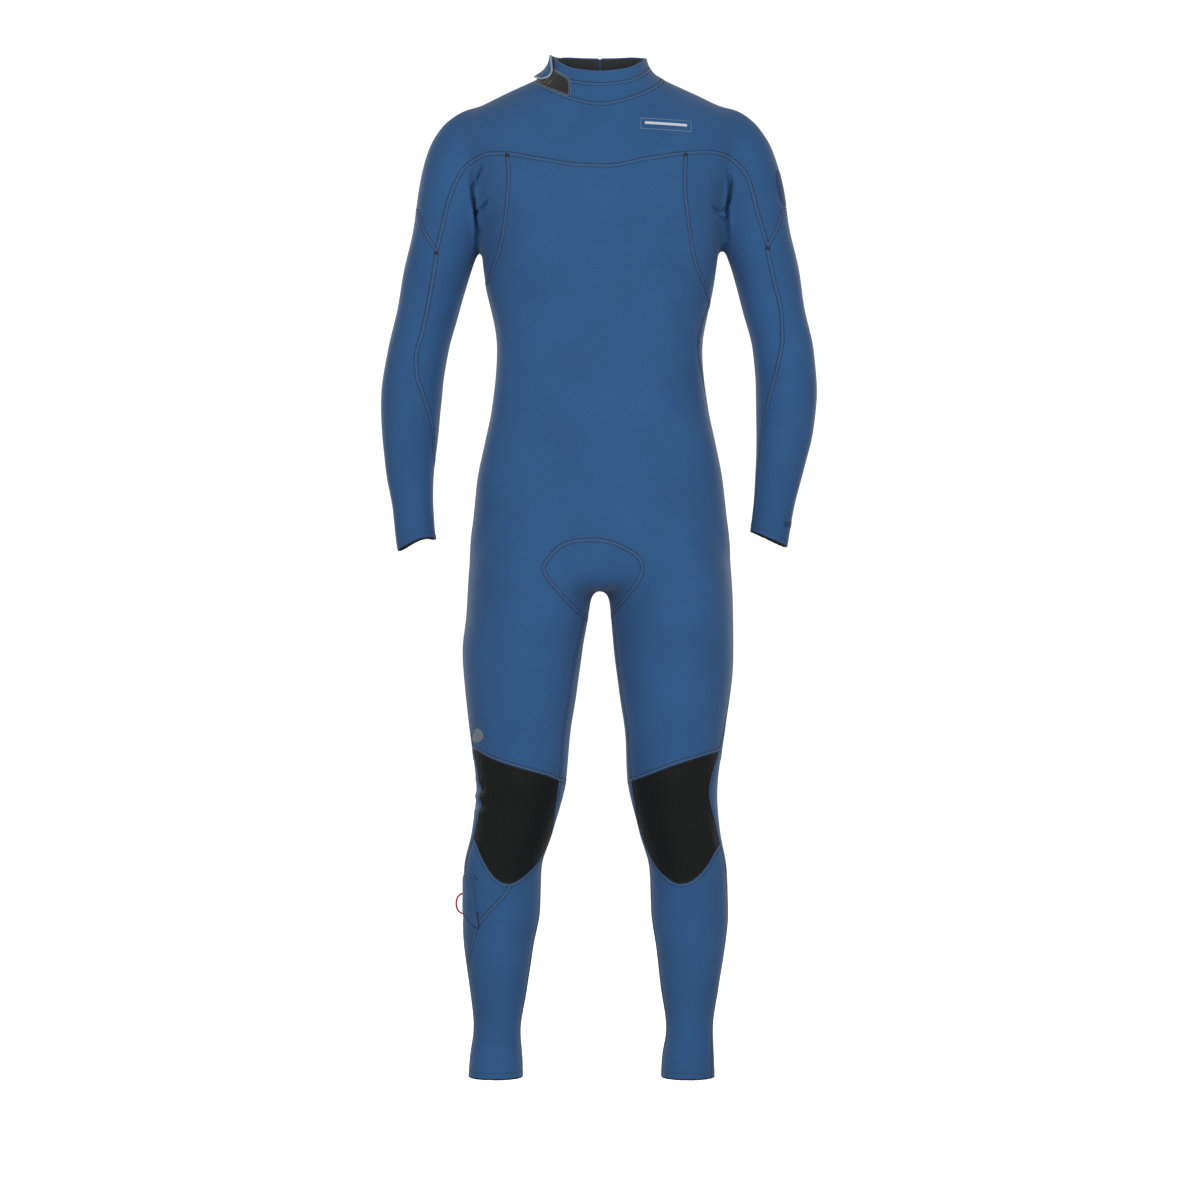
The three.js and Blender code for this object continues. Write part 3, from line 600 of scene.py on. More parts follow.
INNER_SEAM_LEFT = [(200, 0), (-600, -10), (-700, -25), (-870, -30), (-940, -8), (-1000, 0), (-1500, 8)]
OUTER_SEAM_LEFT = [
    (200, 4), (-200, -12), (-310, -36), (-390, -12), (-450, 0), (-600, 0), (-780, -20), (-872, -42),
    (-914, -30),
    (-1016, 0), (-1100, 6), (-1180, 2), (-1215, -6), (-1500, -8),
]
PAD_RIGHT = [
    (-185, -818), (-159.5, -821), (-144, -829), (-123, -837), (-96, -845), (-75, -851), (-61, -856),
    (-46, -864),
    (-30, -874), (-30, -900), (-50, -912), (-60, -934), (-78, -967), (-93, -983), (-105, -991), (-114, -994),
    (-125, -992), (-134, -985), (-143, -973), (-151.5, -957), (-162, -936), (-185, -925),
]
PAD_LEFT = [
    (22, -868), (41, -861), (85, -843), (116, -833), (147, -825), (175, -822), (175, -930), (158, -938),
    (147, -952), (135, -972), (122, -986), (108, -993), (95, -993), (83, -986), (70, -972), (58, -948),
    (48, -922), (22, -905),
]
POCKET_EDGE = [
    (-900, -112), (-992, -112), (-1000, -116), (-1048, -155), (-1075, -163), (-1100, -169), (-1124, -174),
    (-1150, -190), (-1300, -200),
]
CUFF_RIGHT = [(-300, -590), (-256, -573), (-218, -557.5), (-172, -566)]
CUFF_LEFT = [(172, -544), (184, -547), (238, -569), (300, -590)]
ANKLE_Z = -1242.0
HEM_EDGE = 2.0
ZIP_SLOT_HALF, SLOT_END_Z = 12.0, ZIP_END_Z - 8
LOWER_BACK_Z, SEAT_Z, KNEE_Z = ZIP_END_Z - 27, -604.0, -890.0
KNEE_BACK_OUTER = [(-100, -822), (-30, -823), (0, -838), (30, -862), (50, -874), (200, -874)]
KNEE_BACK_INNER = [(-100, -862), (-38, -862), (50, -874), (200, -874)]
LEG_X = 98.0


def cuff_gap(x, z):
    """Height above the cuff's edge."""
    return z - np.where(x < 0, line_at(CUFF_RIGHT, x), line_at(CUFF_LEFT, x))


def yoke_line(x):
    right, front, left = (line_at(part, x) for part in YOKE)
    return np.where(x < YOKE[1][0][0], right, np.where(x > YOKE[1][-1][0], left, front))


def at_wrist(x, y, z):
    return (np.abs(x) > 178) & (z < -470)


def behind(x, y, z):
    return y > 0


def round_collar(x, y, z):
    return z > -60


def above_legs(x, y, z):
    return z > -610


carve("skin", "waste", lambda x, y, z: z - line_at(COLLAR_TOP, azimuth(x, y)), round_collar)
carve("skin", "waste", lambda x, y, z: -cuff_gap(x, z), at_wrist)
carve("skin", "wrist_hem", lambda x, y, z: HEM_EDGE - cuff_gap(x, z), at_wrist)
carve("skin", "waste", lambda x, y, z: ANKLE_Z - z)
carve("skin", "ankle_hem", lambda x, y, z: ANKLE_Z + HEM_EDGE - z)
carve("skin", "collar_lower_band", lambda x, y, z: z - line_at(NECK_SEAM, azimuth(x, y)), round_collar)
carve("collar_lower_band", "collar_upper_band", lambda x, y, z: z - line_at(BAND_SEAM, azimuth(x, y)))
for band in ("collar_lower_band", "collar_upper_band"):
    carve(band, band, lambda x, y, z: x, behind)
    carve(band, "waste", lambda x, y, z: 1 - np.abs(x), behind)
carve("skin", "shoulder_yoke", lambda x, y, z: z - yoke_line(x))
carve("shoulder_yoke", "waste", lambda x, y, z: ZIP_SLOT_HALF - np.abs(x), behind)
carve("skin", "outer_sleeve_right", lambda x, y, z: line_at(SLEEVE_RIGHT, z) - x, above_legs)
carve("skin", "outer_sleeve_left", lambda x, y, z: x - line_at(SLEEVE_LEFT, z), above_legs)
carve("skin", "underarm_panel_right", lambda x, y, z: line_at(UNDERARM_RIGHT, z) - x, above_legs)
carve("skin", "underarm_panel_left", lambda x, y, z: x - line_at(UNDERARM_LEFT, z), above_legs)
carve("skin", "crotch_gusset", lambda x, y, z: inside(smooth_loop(GUSSET), x, z))
for seam, zone in [
    (OUTER_SEAM_RIGHT, lambda x, y, z: x < -LEG_X),
    (INNER_SEAM_RIGHT, lambda x, y, z: (x >= -LEG_X) & (x < 0)),
    (INNER_SEAM_LEFT, lambda x, y, z: (x >= 0) & (x <= LEG_X)),
    (OUTER_SEAM_LEFT, lambda x, y, z: x > LEG_X),
]:
    carve("skin", "rear", lambda x, y, z: y - line_at(seam, z), zone)
carve("skin", "knee_pad_right", lambda x, y, z: inside(smooth_loop(PAD_RIGHT), x, z))
carve("skin", "knee_pad_left", lambda x, y, z: inside(smooth_loop(PAD_LEFT), x, z))
carve("skin", "shin", lambda x, y, z: KNEE_Z - z)
rename("skin", "front_body_panel")
rename("shin", "shin_panel_right", "shin_panel_left")
carve("shin_panel_right", "pocket_panel_right", lambda x, y, z: line_at(POCKET_EDGE, z) - x)
carve("rear", "lower", lambda x, y, z: LOWER_BACK_Z - z)
carve("rear", "waste", lambda x, y, z: np.minimum(ZIP_SLOT_HALF - np.abs(x), z - SLOT_END_Z))
carve("rear", "back_panel_right", lambda x, y, z: -x)
rename("rear", "back_panel_left")
carve("lower", "thigh", lambda x, y, z: SEAT_Z - z)
rename("lower", "seat_panel")
for line, zone in [
    (KNEE_BACK_OUTER, lambda x, y, z: np.abs(x) > LEG_X),
    (KNEE_BACK_INNER, lambda x, y, z: np.abs(x) <= LEG_X),
]:
    carve("thigh", "calf", lambda x, y, z: line_at(line, y) - z, zone)
rename("thigh", "rear_thigh_panel_right", "rear_thigh_panel_left")
rename("calf", "calf_panel_right", "calf_panel_left")
rename("wrist_hem", "wrist_hem_right", "wrist_hem_left")
rename("ankle_hem", "ankle_hem_right", "ankle_hem_left")
kept = panel != number("waste")
T, panel = T[kept], panel[kept]

# ---------------------------------------------------------------- objects from arrays

FABRIC, LINING = 0, 1  # material places on a layered piece
UNDER_WALL = -3.3  # height of what lies against the inside of the neoprene


def shell(points, normals, tris, low, high):
    """A closed sheet between two heights over the skin.

    Returns its points, triangles, material places and corner normals."""
    used, local = np.unique(tris, return_inverse=True)
    tris = local.reshape(-1, 3)
    p, n, count = points[used], normals[used], len(used)
    high = high[used] if np.ndim(high) else np.full(count, float(high))
    directed = tris[:, [[0, 1], [1, 2], [2, 0]]].reshape(-1, 2)
    keys, reverse = directed[:, 0] * count + directed[:, 1], directed[:, 1] * count + directed[:, 0]
    a, b = directed[~np.isin(keys, reverse)].T
    verts = np.concatenate([p + n * high[:, None], p + n * low])
    walls = np.concatenate([np.stack([b, a, a + count], 1), np.stack([b, a + count, b + count], 1)])
    out = unit(np.cross(verts[a] - verts[b], n[a]))
    faces = np.concatenate([tris, tris[:, ::-1] + count, walls])
    place = np.concatenate([np.full(len(tris), FABRIC), np.full(len(faces) - len(tris), LINING)])
    wall_corners = np.repeat(np.concatenate([out, out])[:, None], 3, 1)
    corners = np.concatenate([n[tris], -n[tris[:, ::-1]], wall_corners])
    return verts, faces, place, corners


def joined(*sheets):
    """Several sheets as one."""
    verts, faces, place, corners = zip(*sheets)
    starts = np.cumsum([0] + [len(v) for v in verts[:-1]])
    return (
        np.concatenate(verts), np.concatenate([f + s for f, s in zip(faces, starts)]),
        np.concatenate(place), np.concatenate(corners),
    )


def piece(name, sheet, materials, body="suit", nodes=()):
    verts, faces, place, corners = sheet
    data = bpy.data.meshes.new(name)
    data.vertices.add(len(verts))
    data.vertices.foreach_set("co", (verts * MM).astype(np.float32).ravel())
    data.loops.add(len(faces) * 3)
    data.loops.foreach_set("vertex_index", faces.astype(np.int32).ravel())
    data.polygons.add(len(faces))
    data.polygons.foreach_set("loop_start", np.arange(0, 3 * len(faces), 3, dtype=np.int32))
    data.polygons.foreach_set("material_index", place.astype(np.int32))
    data.polygons.foreach_set("use_smooth", np.ones(len(faces), bool))
    data.update(calc_edges=True)
    if corners is not None:
        data.normals_split_custom_set(corners.reshape(-1, 3).tolist())
    for material in materials:
        data.materials.append(material)
    made = bpy.data.objects.new(name, data)
    collection.objects.link(made)
    return placed(made, body, nodes)


def placed(made, body="suit", nodes=()):
    """Rides on the body and stands for the nodes."""
    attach(made, body)
    if nodes:
        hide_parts(*nodes)
    return made


# ---------------------------------------------------------------- lines on the skin


def chains(pairs):
    """Runs of vertices joined by the pairs; a closed run ends where it starts."""
    beside = {}
    for a, b in pairs.tolist():
        beside.setdefault(a, []).append(b)
        beside.setdefault(b, []).append(a)
    runs = []
    while beside:
        start = next((v for v, other in beside.items() if len(other) == 1), None)
        if start is None:
            start = next((v for v, other in beside.items() if len(other) != 2), next(iter(beside)))
        run = [start]
        while beside.get(run[-1]):
            here = run[-1]
            ahead = beside[here].pop()
            beside[ahead].remove(here)
            for v in (here, ahead):
                if v in beside and not beside[v]:
                    del beside[v]
            run.append(ahead)
        runs.append(run)
    return runs


def lengths_along(points):
    return np.concatenate([[0], np.cumsum(np.linalg.norm(np.diff(points, axis=0), axis=1))])


def spaced(at, travelled, values):
    return np.stack([np.interp(at, travelled, values[:, k]) for k in range(values.shape[1])], 1)


def even(points, normals, run, step, rounds=4):
    """Places, normals and directions at even steps along a run of vertices, smoothed."""
    p, n = points[run], normals[run]
    closed = run[0] == run[-1]
    for _ in range(rounds):
        mid = p.copy()
        mid[1:-1] = 0.5 * p[1:-1] + 0.25 * (p[:-2] + p[2:])
        if closed:
            mid[0] = mid[-1] = 0.5 * p[0] + 0.25 * (p[1] + p[-2])
        p = mid
    travelled = lengths_along(p)
    total = travelled[-1]
    count = max(int(round(total / step)), 2)
    at = np.linspace(0, total, count + 1)
    place = spaced(at, travelled, p)
    return place, unit(spaced(at, travelled, n)), unit(np.gradient(place, axis=0))


def ribbon(place, normal, direction, profile):
    """A strip swept along a line; profile is its section as (across, up) points."""
    side = unit(np.cross(normal, direction))
    rows = [place + side * across + normal * up for across, up in profile]
    m, k = len(place), len(rows)
    verts = np.stack(rows, 1).reshape(-1, 3)
    base = np.arange(m - 1)[:, None] * k
    faces = []
    for j in range(k - 1):
        a, b, c, d = base + j, base + j + 1, base + k + j + 1, base + k + j
        faces += [np.concatenate([a, d, c], 1), np.concatenate([a, c, b], 1)]
    for row, turn in ((0, 1), ((m - 1) * k, -1)):
        fan = np.array([[row, row + j, row + j + 1] for j in range(1, k - 1)])
        faces.append(fan[:, ::turn])
    return verts, np.concatenate(faces), None


SEAM_PROFILE = [(1.7, -0.9), (1.35, 0.0), (0.7, 0.28), (0, 0.36), (-0.7, 0.28), (-1.35, 0.0), (-1.7, -0.9)]
THREAD_RING = [(1, 0), (0, 1), (-1, 0), (0, -0.6)]
shaker = np.random.default_rng(11)


def threads(centre, normal, direction, length, width, height):
    """One short stitch at each centre, as a small pill that lies along its direction."""
    side = unit(np.cross(normal, direction))
    count = len(centre)
    jitter = 1 + 0.12 * shaker.standard_normal((count, 1))
    rows = [centre - direction * (length / 2) * jitter - normal * 0.15 * height]
    for end in (-0.32, 0.32):
        for across, up in THREAD_RING:
            rows.append(
                centre + direction * length * end * jitter + side * across * width / 2 + normal * up * height
            )
    rows.append(centre + direction * (length / 2) * jitter - normal * 0.15 * height)
    verts = np.stack(rows, 1).reshape(-1, 3)
    shape = []
    for j in range(4):
        k = (j + 1) % 4
        shape += [(0, 1 + k, 1 + j), (1 + j, 1 + k, 5 + k), (1 + j, 5 + k, 5 + j), (5 + j, 5 + k, 9)]
    faces = (np.arange(count)[:, None, None] * 10 + np.array(shape)[None]).reshape(-1, 3)
    return verts, faces, None


def row_of_stitches(line, offset, pitch=2.9, length=1.9, width=0.95, height=0.42, lift=0.12):
    travelled = lengths_along(line[0])
    at = np.arange(pitch / 2, travelled[-1], pitch)
    if not len(at):
        return None
    p, n, d = (spaced(at, travelled, values) for values in line)
    n, d = unit(n), unit(d)
    side = unit(np.cross(n, d))
    return threads(p + side * offset + n * lift, n, d, length, width, height)


def bundle(name, parts, material, **more):
    parts = [p for p in parts if p is not None]
    verts = np.concatenate([p[0] for p in parts])
    starts = np.cumsum([0] + [len(p[0]) for p in parts[:-1]])
    faces = np.concatenate([p[1] + s for p, s in zip(parts, starts)])
    return piece(name, (verts, faces, np.zeros(len(faces), int), None), [material], **more)

# ---------------------------------------------------------------- materials


def linear(red, green, blue):
    """A linear colour from 0-255 display values."""
    shares = (red / 255, green / 255, blue / 255)
    return tuple(v / 12.92 if v <= 0.04045 else ((v + 0.055) / 1.055) ** 2.4 for v in shares) + (1,)


def wave_scale(pitch):
    """The Wave texture's scale for bands at a pitch in metres."""
    return math.tau / (20 * pitch)


class Shader:
    """A procedural material: a Principled shader with its colour, roughness and bump built from textures."""

    def __init__(self, name, roughness, **constants):
        self.made = bpy.data.materials.new(name)
        self.made.use_nodes = True
        self.tree = self.made.node_tree
        self.surface = self.tree.nodes["Principled BSDF"]
        self.surface.inputs["Roughness"].default_value = roughness
        for socket, value in constants.items():
            self.surface.inputs[socket.replace("_", " ")].default_value = value
        self.place = self.node("ShaderNodeTexCoord").outputs["Object"]
        self.height = None

    def node(self, kind, inputs=(), **settings):
        made = self.tree.nodes.new(kind)
        for key, value in settings.items():
            setattr(made, key, value)
        for socket, value in dict(inputs).items():
            if isinstance(value, bpy.types.NodeSocket):
                self.tree.links.new(value, made.inputs[socket])
            else:
                made.inputs[socket].default_value = value
        return made

    def noise(self, size, detail=3.0, stretch=(1, 1, 1)):
        """Cloudy values, about size metres across."""
        scaled = self.node("ShaderNodeVectorMath", {0: self.place, 1: stretch}, operation="MULTIPLY")
        inputs = {"Vector": scaled.outputs[0], "Scale": 1 / size, "Detail": detail}
        return self.node("ShaderNodeTexNoise", inputs).outputs["Fac"]

    def bands(self, pitch, axis, wobble=0.0):
        """Soft ridges at a pitch in metres across an axis."""
        inputs = {"Vector": self.place, "Scale": wave_scale(pitch), "Distortion": wobble, "Detail": 1.0}
        return self.node("ShaderNodeTexWave", inputs, bands_direction=axis).outputs["Fac"]

    def math(self, kind, a, b):
        return self.node("ShaderNodeMath", {0: a, 1: b}, operation=kind).outputs[0]

    def spread(self, value, low, high):
        inputs = {"Value": value, "From Min": low, "From Max": high}
        return self.node("ShaderNodeMapRange", inputs).outputs["Result"]

    def colour(self, factor, first, second):
        ramp = self.node("ShaderNodeValToRGB", {"Fac": factor})
        ramp.color_ramp.elements[0].color, ramp.color_ramp.elements[1].color = first, second
        self.tree.links.new(ramp.outputs["Color"], self.surface.inputs["Base Color"])

    def rough(self, factor, low, high):
        made = self.node("ShaderNodeMapRange", {"Value": factor, "To Min": low, "To Max": high})
        self.tree.links.new(made.outputs["Result"], self.surface.inputs["Roughness"])

    def bump(self, value, depth, strength=1.0):
        inputs = {"Height": value, "Distance": depth, "Strength": strength}
        if self.height is not None:
            inputs["Normal"] = self.height
        self.height = self.node("ShaderNodeBump", inputs).outputs["Normal"]
        self.tree.links.new(self.height, self.surface.inputs["Normal"])


def jersey_material(name, dark, light):
    """Neoprene faced with fine knitted nylon: a soft bloom, faint wales and slightly uneven dye."""
    s = Shader(name, 0.8, Sheen_Weight=0.12, Sheen_Roughness=0.5, Specular_IOR_Level=0.2)
    cloud = s.spread(s.noise(0.09, 4.0), 0.3, 0.7)
    grain = s.spread(s.noise(0.0016, 2.0), 0.25, 0.75)
    wale = s.math("MULTIPLY", s.bands(0.0011, "X", 0.6), s.bands(0.0013, "Z", 0.6))
    mix = s.math("ADD", s.math("MULTIPLY", cloud, 0.45), s.math("MULTIPLY", grain, 0.4))
    s.colour(s.math("ADD", mix, s.math("MULTIPLY", wale, 0.15)), dark, light)
    s.rough(cloud, 0.72, 0.84)
    s.bump(grain, 0.00022, 0.55)
    s.bump(wale, 0.00012, 0.5)
    return s.made


def rib_material(name):
    """Tough abrasion fabric for the knees, black with fine upright ribs."""
    s = Shader(name, 0.75, Sheen_Weight=0.03, Sheen_Roughness=0.5, Specular_IOR_Level=0.2)
    rib = s.bands(0.0026, "X", 0.9)
    weft = s.bands(0.0017, "Z", 0.5)
    fleck = s.spread(s.noise(0.0024, 3.0), 0.3, 0.7)
    worn = s.math("ADD", s.math("MULTIPLY", fleck, 0.7), 0.3)
    s.colour(s.math("MULTIPLY", rib, worn), linear(5, 6, 6), linear(24, 26, 27))
    s.rough(fleck, 0.55, 0.8)
    s.bump(rib, 0.0005, 0.7)
    s.bump(s.math("MULTIPLY", weft, fleck), 0.0003, 0.5)
    return s.made


def fabric_material(name, dark, light, grain_size=0.0012, depth=0.0002, roughness=0.85, sheen=0.15):
    s = Shader(name, roughness, Sheen_Weight=sheen, Sheen_Roughness=0.5)
    grain = s.spread(s.noise(grain_size, 3.0), 0.3, 0.7)
    cloud = s.noise(0.03, 3.0)
    s.colour(s.math("ADD", s.math("MULTIPLY", grain, 0.65), s.math("MULTIPLY", cloud, 0.35)), dark, light)
    s.rough(cloud, roughness - 0.08, min(roughness + 0.08, 1.0))
    s.bump(grain, depth, 0.7)
    return s.made


def woven_material(name, dark, light, pitch, depth=0.00025):
    """A narrow woven tape: yarns cross in both directions."""
    s = Shader(name, 0.75, Sheen_Weight=0.2)
    weave = s.math("MULTIPLY", s.bands(pitch, "X", 0.3), s.bands(pitch * 1.3, "Z", 0.3))
    fleck = s.noise(0.0009, 2.0)
    s.colour(s.math("ADD", s.math("MULTIPLY", weave, 0.6), s.math("MULTIPLY", fleck, 0.4)), dark, light)
    s.rough(fleck, 0.65, 0.85)
    s.bump(weave, depth, 0.8)
    return s.made


def pile_material(name, size, depth):
    """Hook or loop pile: black nylon that scatters light in tiny curls."""
    s = Shader(name, 0.9, Sheen_Weight=0.35, Sheen_Roughness=0.35)
    curls = s.node("ShaderNodeTexVoronoi", {"Vector": s.place, "Scale": 1 / size}).outputs["Distance"]
    fuzz = s.noise(size * 0.6, 4.0)
    s.colour(s.math("MULTIPLY", curls, fuzz), linear(9, 9, 10), linear(62, 62, 64))
    s.rough(fuzz, 0.8, 1.0)
    s.bump(curls, depth, 0.9)
    s.bump(fuzz, depth * 0.6, 0.7)
    return s.made


def plastic_material(name, dark, light):
    s = Shader(name, 0.42, Specular_IOR_Level=0.5)
    swirl = s.noise(0.004, 4.0)
    s.colour(swirl, dark, light)
    s.rough(s.noise(0.0015, 3.0), 0.34, 0.55)
    s.bump(s.noise(0.0008, 2.0), 0.00003, 0.4)
    return s.made


def metal_material(name):
    s = Shader(name, 0.3, Metallic=1.0)
    brushed = s.noise(0.0012, 3.0, (1, 1, 0.12))
    s.colour(brushed, linear(122, 126, 132), linear(182, 186, 190))
    s.rough(brushed, 0.24, 0.42)
    s.bump(brushed, 0.00003, 0.5)
    return s.made


def braid_material(name, dark, light):
    """Braided cord: strands cross on a slant round it."""
    s = Shader(name, 0.6, Sheen_Weight=0.3, Sheen_Roughness=0.4)
    slant = s.node("ShaderNodeMapping", {"Vector": s.place, "Rotation": (0.7, 0.2, 0.7)}).outputs["Vector"]
    inputs = {"Vector": slant, "Scale": wave_scale(0.0011)}
    strands = [s.node("ShaderNodeTexWave", inputs, bands_direction=axis).outputs["Fac"] for axis in "XZ"]
    weave = s.math("MULTIPLY", *strands)
    s.colour(weave, dark, light)
    s.rough(weave, 0.5, 0.75)
    s.bump(weave, 0.0002, 0.8)
    return s.made


THREAD, PRINT = (0.0006, 0.0001, 0.7), (0.0015, 0.00005, 0.5, 0.0)
jersey = jersey_material("jersey_blue", linear(33, 74, 118), linear(50, 95, 144))
seam_jersey = fabric_material("seam_blue", linear(34, 74, 118), linear(50, 94, 142), 0.0008, 0.0001)
lining = fabric_material("lining_charcoal", linear(30, 31, 34), linear(52, 54, 58), 0.0014, 0.0002)
ribbed = rib_material("knee_rib_black")
navy_thread = fabric_material("thread_navy", linear(4, 14, 28), linear(12, 28, 46), *THREAD)
pale_thread = fabric_material("thread_pale", linear(118, 138, 162), linear(165, 182, 200), *THREAD)
tan_thread = fabric_material("thread_tan", linear(112, 106, 88), linear(150, 142, 120), *THREAD)
black_cloth = fabric_material("cloth_black", linear(12, 13, 15), linear(30, 31, 34))
loop_pile = pile_material("loop_pile_black", 0.0012, 0.0005)
hook_pile = pile_material("hook_pile_black", 0.0018, 0.0004)
tape_weave = woven_material("zip_tape_black", linear(12, 12, 14), linear(36, 37, 40), 0.0012)
tooth_plastic = plastic_material("tooth_plastic_black", linear(16, 17, 19), linear(30, 31, 34))
zip_metal = metal_material("zip_metal")
red_braid = braid_material("cord_red", linear(196, 16, 52), linear(242, 60, 98))
print_pale = fabric_material("print_pale", linear(176, 188, 198), linear(206, 214, 220), *PRINT)
print_navy = fabric_material("print_navy", linear(20, 54, 92), linear(27, 64, 104), 0.0015, 0.00005, 0.8, 0.0)
print_grey = fabric_material("print_grey", linear(98, 112, 122), linear(122, 134, 142), *PRINT)

# ---------------------------------------------------------------- panels

# Every seam is drawn down a little into the foam.
edge_pairs = sides_of(T).reshape(-1, 2)
edge_owner = np.repeat(panel, 3)
order = np.lexsort((edge_pairs[:, 1], edge_pairs[:, 0]))
edge_pairs, edge_owner = edge_pairs[order], edge_owner[order]
same = np.all(edge_pairs[:-1] == edge_pairs[1:], axis=1)
first = np.flatnonzero(same)
meets = edge_owner[first] != edge_owner[first + 1]
seam_pairs = edge_pairs[first[meets]]
seam_owners = np.sort(np.stack([edge_owner[first[meets]], edge_owner[first[meets] + 1]], 1), axis=1)
lone = np.ones(len(edge_pairs), bool)
lone[first] = lone[first + 1] = False
rim_pairs, rim_owner = edge_pairs[lone], edge_owner[lone]

HEMS = [i for i, name in enumerate(PANELS) if "hem" in name]
sewn = ~np.isin(seam_owners, HEMS).any(1)
seam_lines = []
for owners in np.unique(seam_owners[sewn], axis=0):
    mine = seam_pairs[sewn][np.all(seam_owners[sewn] == owners, axis=1)]
    for run in chains(mine):
        if len(run) > 3:
            seam_lines.append((PANELS[owners[0]], PANELS[owners[1]], even(V, N, run, 2.0)))

SEAM_SUNK, RIM_SUNK = 0.5, 0.25
sunk = np.zeros(len(V))
sunk[np.unique(seam_pairs[sewn])] = SEAM_SUNK
sunk[np.unique(rim_pairs)] = RIM_SUNK
outer = V - N * sunk[:, None]

for place, name in enumerate(PANELS):
    mine = T[panel == place]
    if len(mine) and place not in HEMS:
        finish = ribbed if "knee_pad" in name else jersey
        piece("vis_" + name, shell(outer, N, mine, -WALL, 0.0), [finish, lining], nodes=[name])

# ---------------------------------------------------------------- seams

upper_names = ("collar", "yoke", "sleeve", "underarm")
groups = {"upper": [], "lower": []}
for a, b, line in seam_lines:
    groups["upper" if any(word in a + b for word in upper_names) else "lower"].append(line)
for zone, lines in groups.items():
    bundle("seam_ridge_" + zone, [ribbon(*line, SEAM_PROFILE) for line in lines], seam_jersey)
    # The row along the overlapped edge is pulled in harder and reads darker than its twin.
    for side, offset, width in (("a", 2.35, 1.5), ("b", -2.35, 1.05)):
        rows = [row_of_stitches(line, offset, length=2.2, width=width) for line in lines]
        bundle(f"seam_thread_{zone}_{side}", rows, navy_thread)

# ---------------------------------------------------------------- layers on the skin


def fine_skin(near, rounds=1):
    """The uncut skin round a place, with finer triangles."""
    points, normals, tris = BASE
    tris = tris[near(*points[tris].mean(1).T)]
    used, local = np.unique(tris, return_inverse=True)
    p, n, f = points[used], normals[used], local.reshape(-1, 3)
    for _ in range(rounds):
        pairs = sides_of(f)
        keys, back = np.unique(pairs[:, :, 0] * len(p) + pairs[:, :, 1], return_inverse=True)
        a, b = keys // len(p), keys % len(p)
        middle = len(p) + back.reshape(-1, 3)
        n_mid = unit(n[a] + n[b])
        # The middle of each edge is lifted onto the arc that the two normals describe.
        lift = ((p[b] - p[a]) * (n[a] - n[b])).sum(1) / 8
        p, n = np.concatenate([p, (p[a] + p[b]) / 2 + n_mid * lift[:, None]]), np.concatenate([n, n_mid])
        corner = [np.stack([f[:, k], middle[:, k], middle[:, (k + 2) % 3]], 1) for k in range(3)]
        f = np.concatenate([*corner, middle])
    return p, n, f


def patch(near, field, low, high, rounds=1, bevel=1.4, drop=0.55):
    """The layer between two heights over the skin where field(x, y, z) is positive, its rim eased down."""
    p, n, f = fine_skin(near, rounds)
    p, n, f, _, d = split_where(p, n, f, field(*p.T), np.ones(len(f), bool))
    f = f[d[f].sum(1) > 0]
    ease = np.clip(d / bevel, 0, 1)
    top = high - (high - low) * drop * (1 - np.sqrt(1 - (1 - ease) ** 2))
    return (p, n, f), shell(p, n, f, low, top)


def rims(mesh, step=1.5):
    """The free edges of a patch as even lines."""
    p, n, f = mesh
    pairs = sides_of(f).reshape(-1, 2)
    keys, count = np.unique(pairs[:, 0] * len(p) + pairs[:, 1], return_counts=True)
    keys = keys[count == 1]
    runs = chains(np.stack([keys // len(p), keys % len(p)], 1))
    return [even(p, n, run, step, 6) for run in runs if len(run) > 6]


def level_line(near, field, step=2.0):
    """The lines on the skin where field(x, y, z) is zero."""
    p, n, f = fine_skin(near, 0)
    p, n, f, _, d = split_where(p, n, f, field(*p.T), np.ones(len(f), bool))
    pairs = sides_of(f).reshape(-1, 2)
    pairs = np.unique(pairs[(d[pairs] == 0).all(1)], axis=0)
    return [even(p, n, run, step, 6) for run in chains(pairs) if len(run) > 6]


def raised(line, height):
    place, normal, direction = line
    return place + normal * height, normal, direction


def bead(radius, squash=1.0, sides=8):
    """A round section for ribbon()."""
    turn = [math.tau * k / sides for k in range(sides + 1)]
    return [(radius * math.cos(t), -radius * squash * math.sin(t)) for t in turn]


# The collar tab is drawn flat: millimetres round the neck from the nape towards the wearer's right,
# and height.
NECK_RADIUS = 64.0
TAB_UNDER, TAB_TOP, TAB_MIDDLE = 3.2, 5.6, 4.5  # heights over the skin
TAB_STITCH_INSET = 4.0
PAD_FROM = 78.0  # where the hook pad starts along the tab


def round_neck(x, y, z):
    return NECK_RADIUS * np.arctan2(-x, y - NECK_Y), z


TAB = [
    (-14, 58), (-14, 43), (-14, 29), (20, 29), (60, 28), (100, 26.5), (120, 23), (134, 19), (141, 19.5),
    (143, 24), (139, 31), (131, 39), (124, 45), (117, 51), (108, 56), (90, 57.5), (50, 58), (20, 58),
]
# The loop patch is drawn in the front view as (x, z).
LOOP_PATCH = [
    (-73, 31), (-64, 36), (-50, 27), (-39.5, 18.5), (-38, 8), (-39, -3.5), (-48, 0), (-62, 6), (-72, 11),
    (-80, 17),
]


def near_neck(x, y, z):
    return (z > 0) & (z < 80) & (np.hypot(x, y - NECK_Y) < 110)


tab_outline = smooth_loop(TAB, 5)


def on_tab(x, y, z):
    return inside(tab_outline, *round_neck(x, y, z))


tab_mesh, tab_sheet = patch(near_neck, on_tab, TAB_UNDER, TAB_TOP)
piece("vis_collar_tab", tab_sheet, [jersey, lining], "tab", ["collar_tab"])
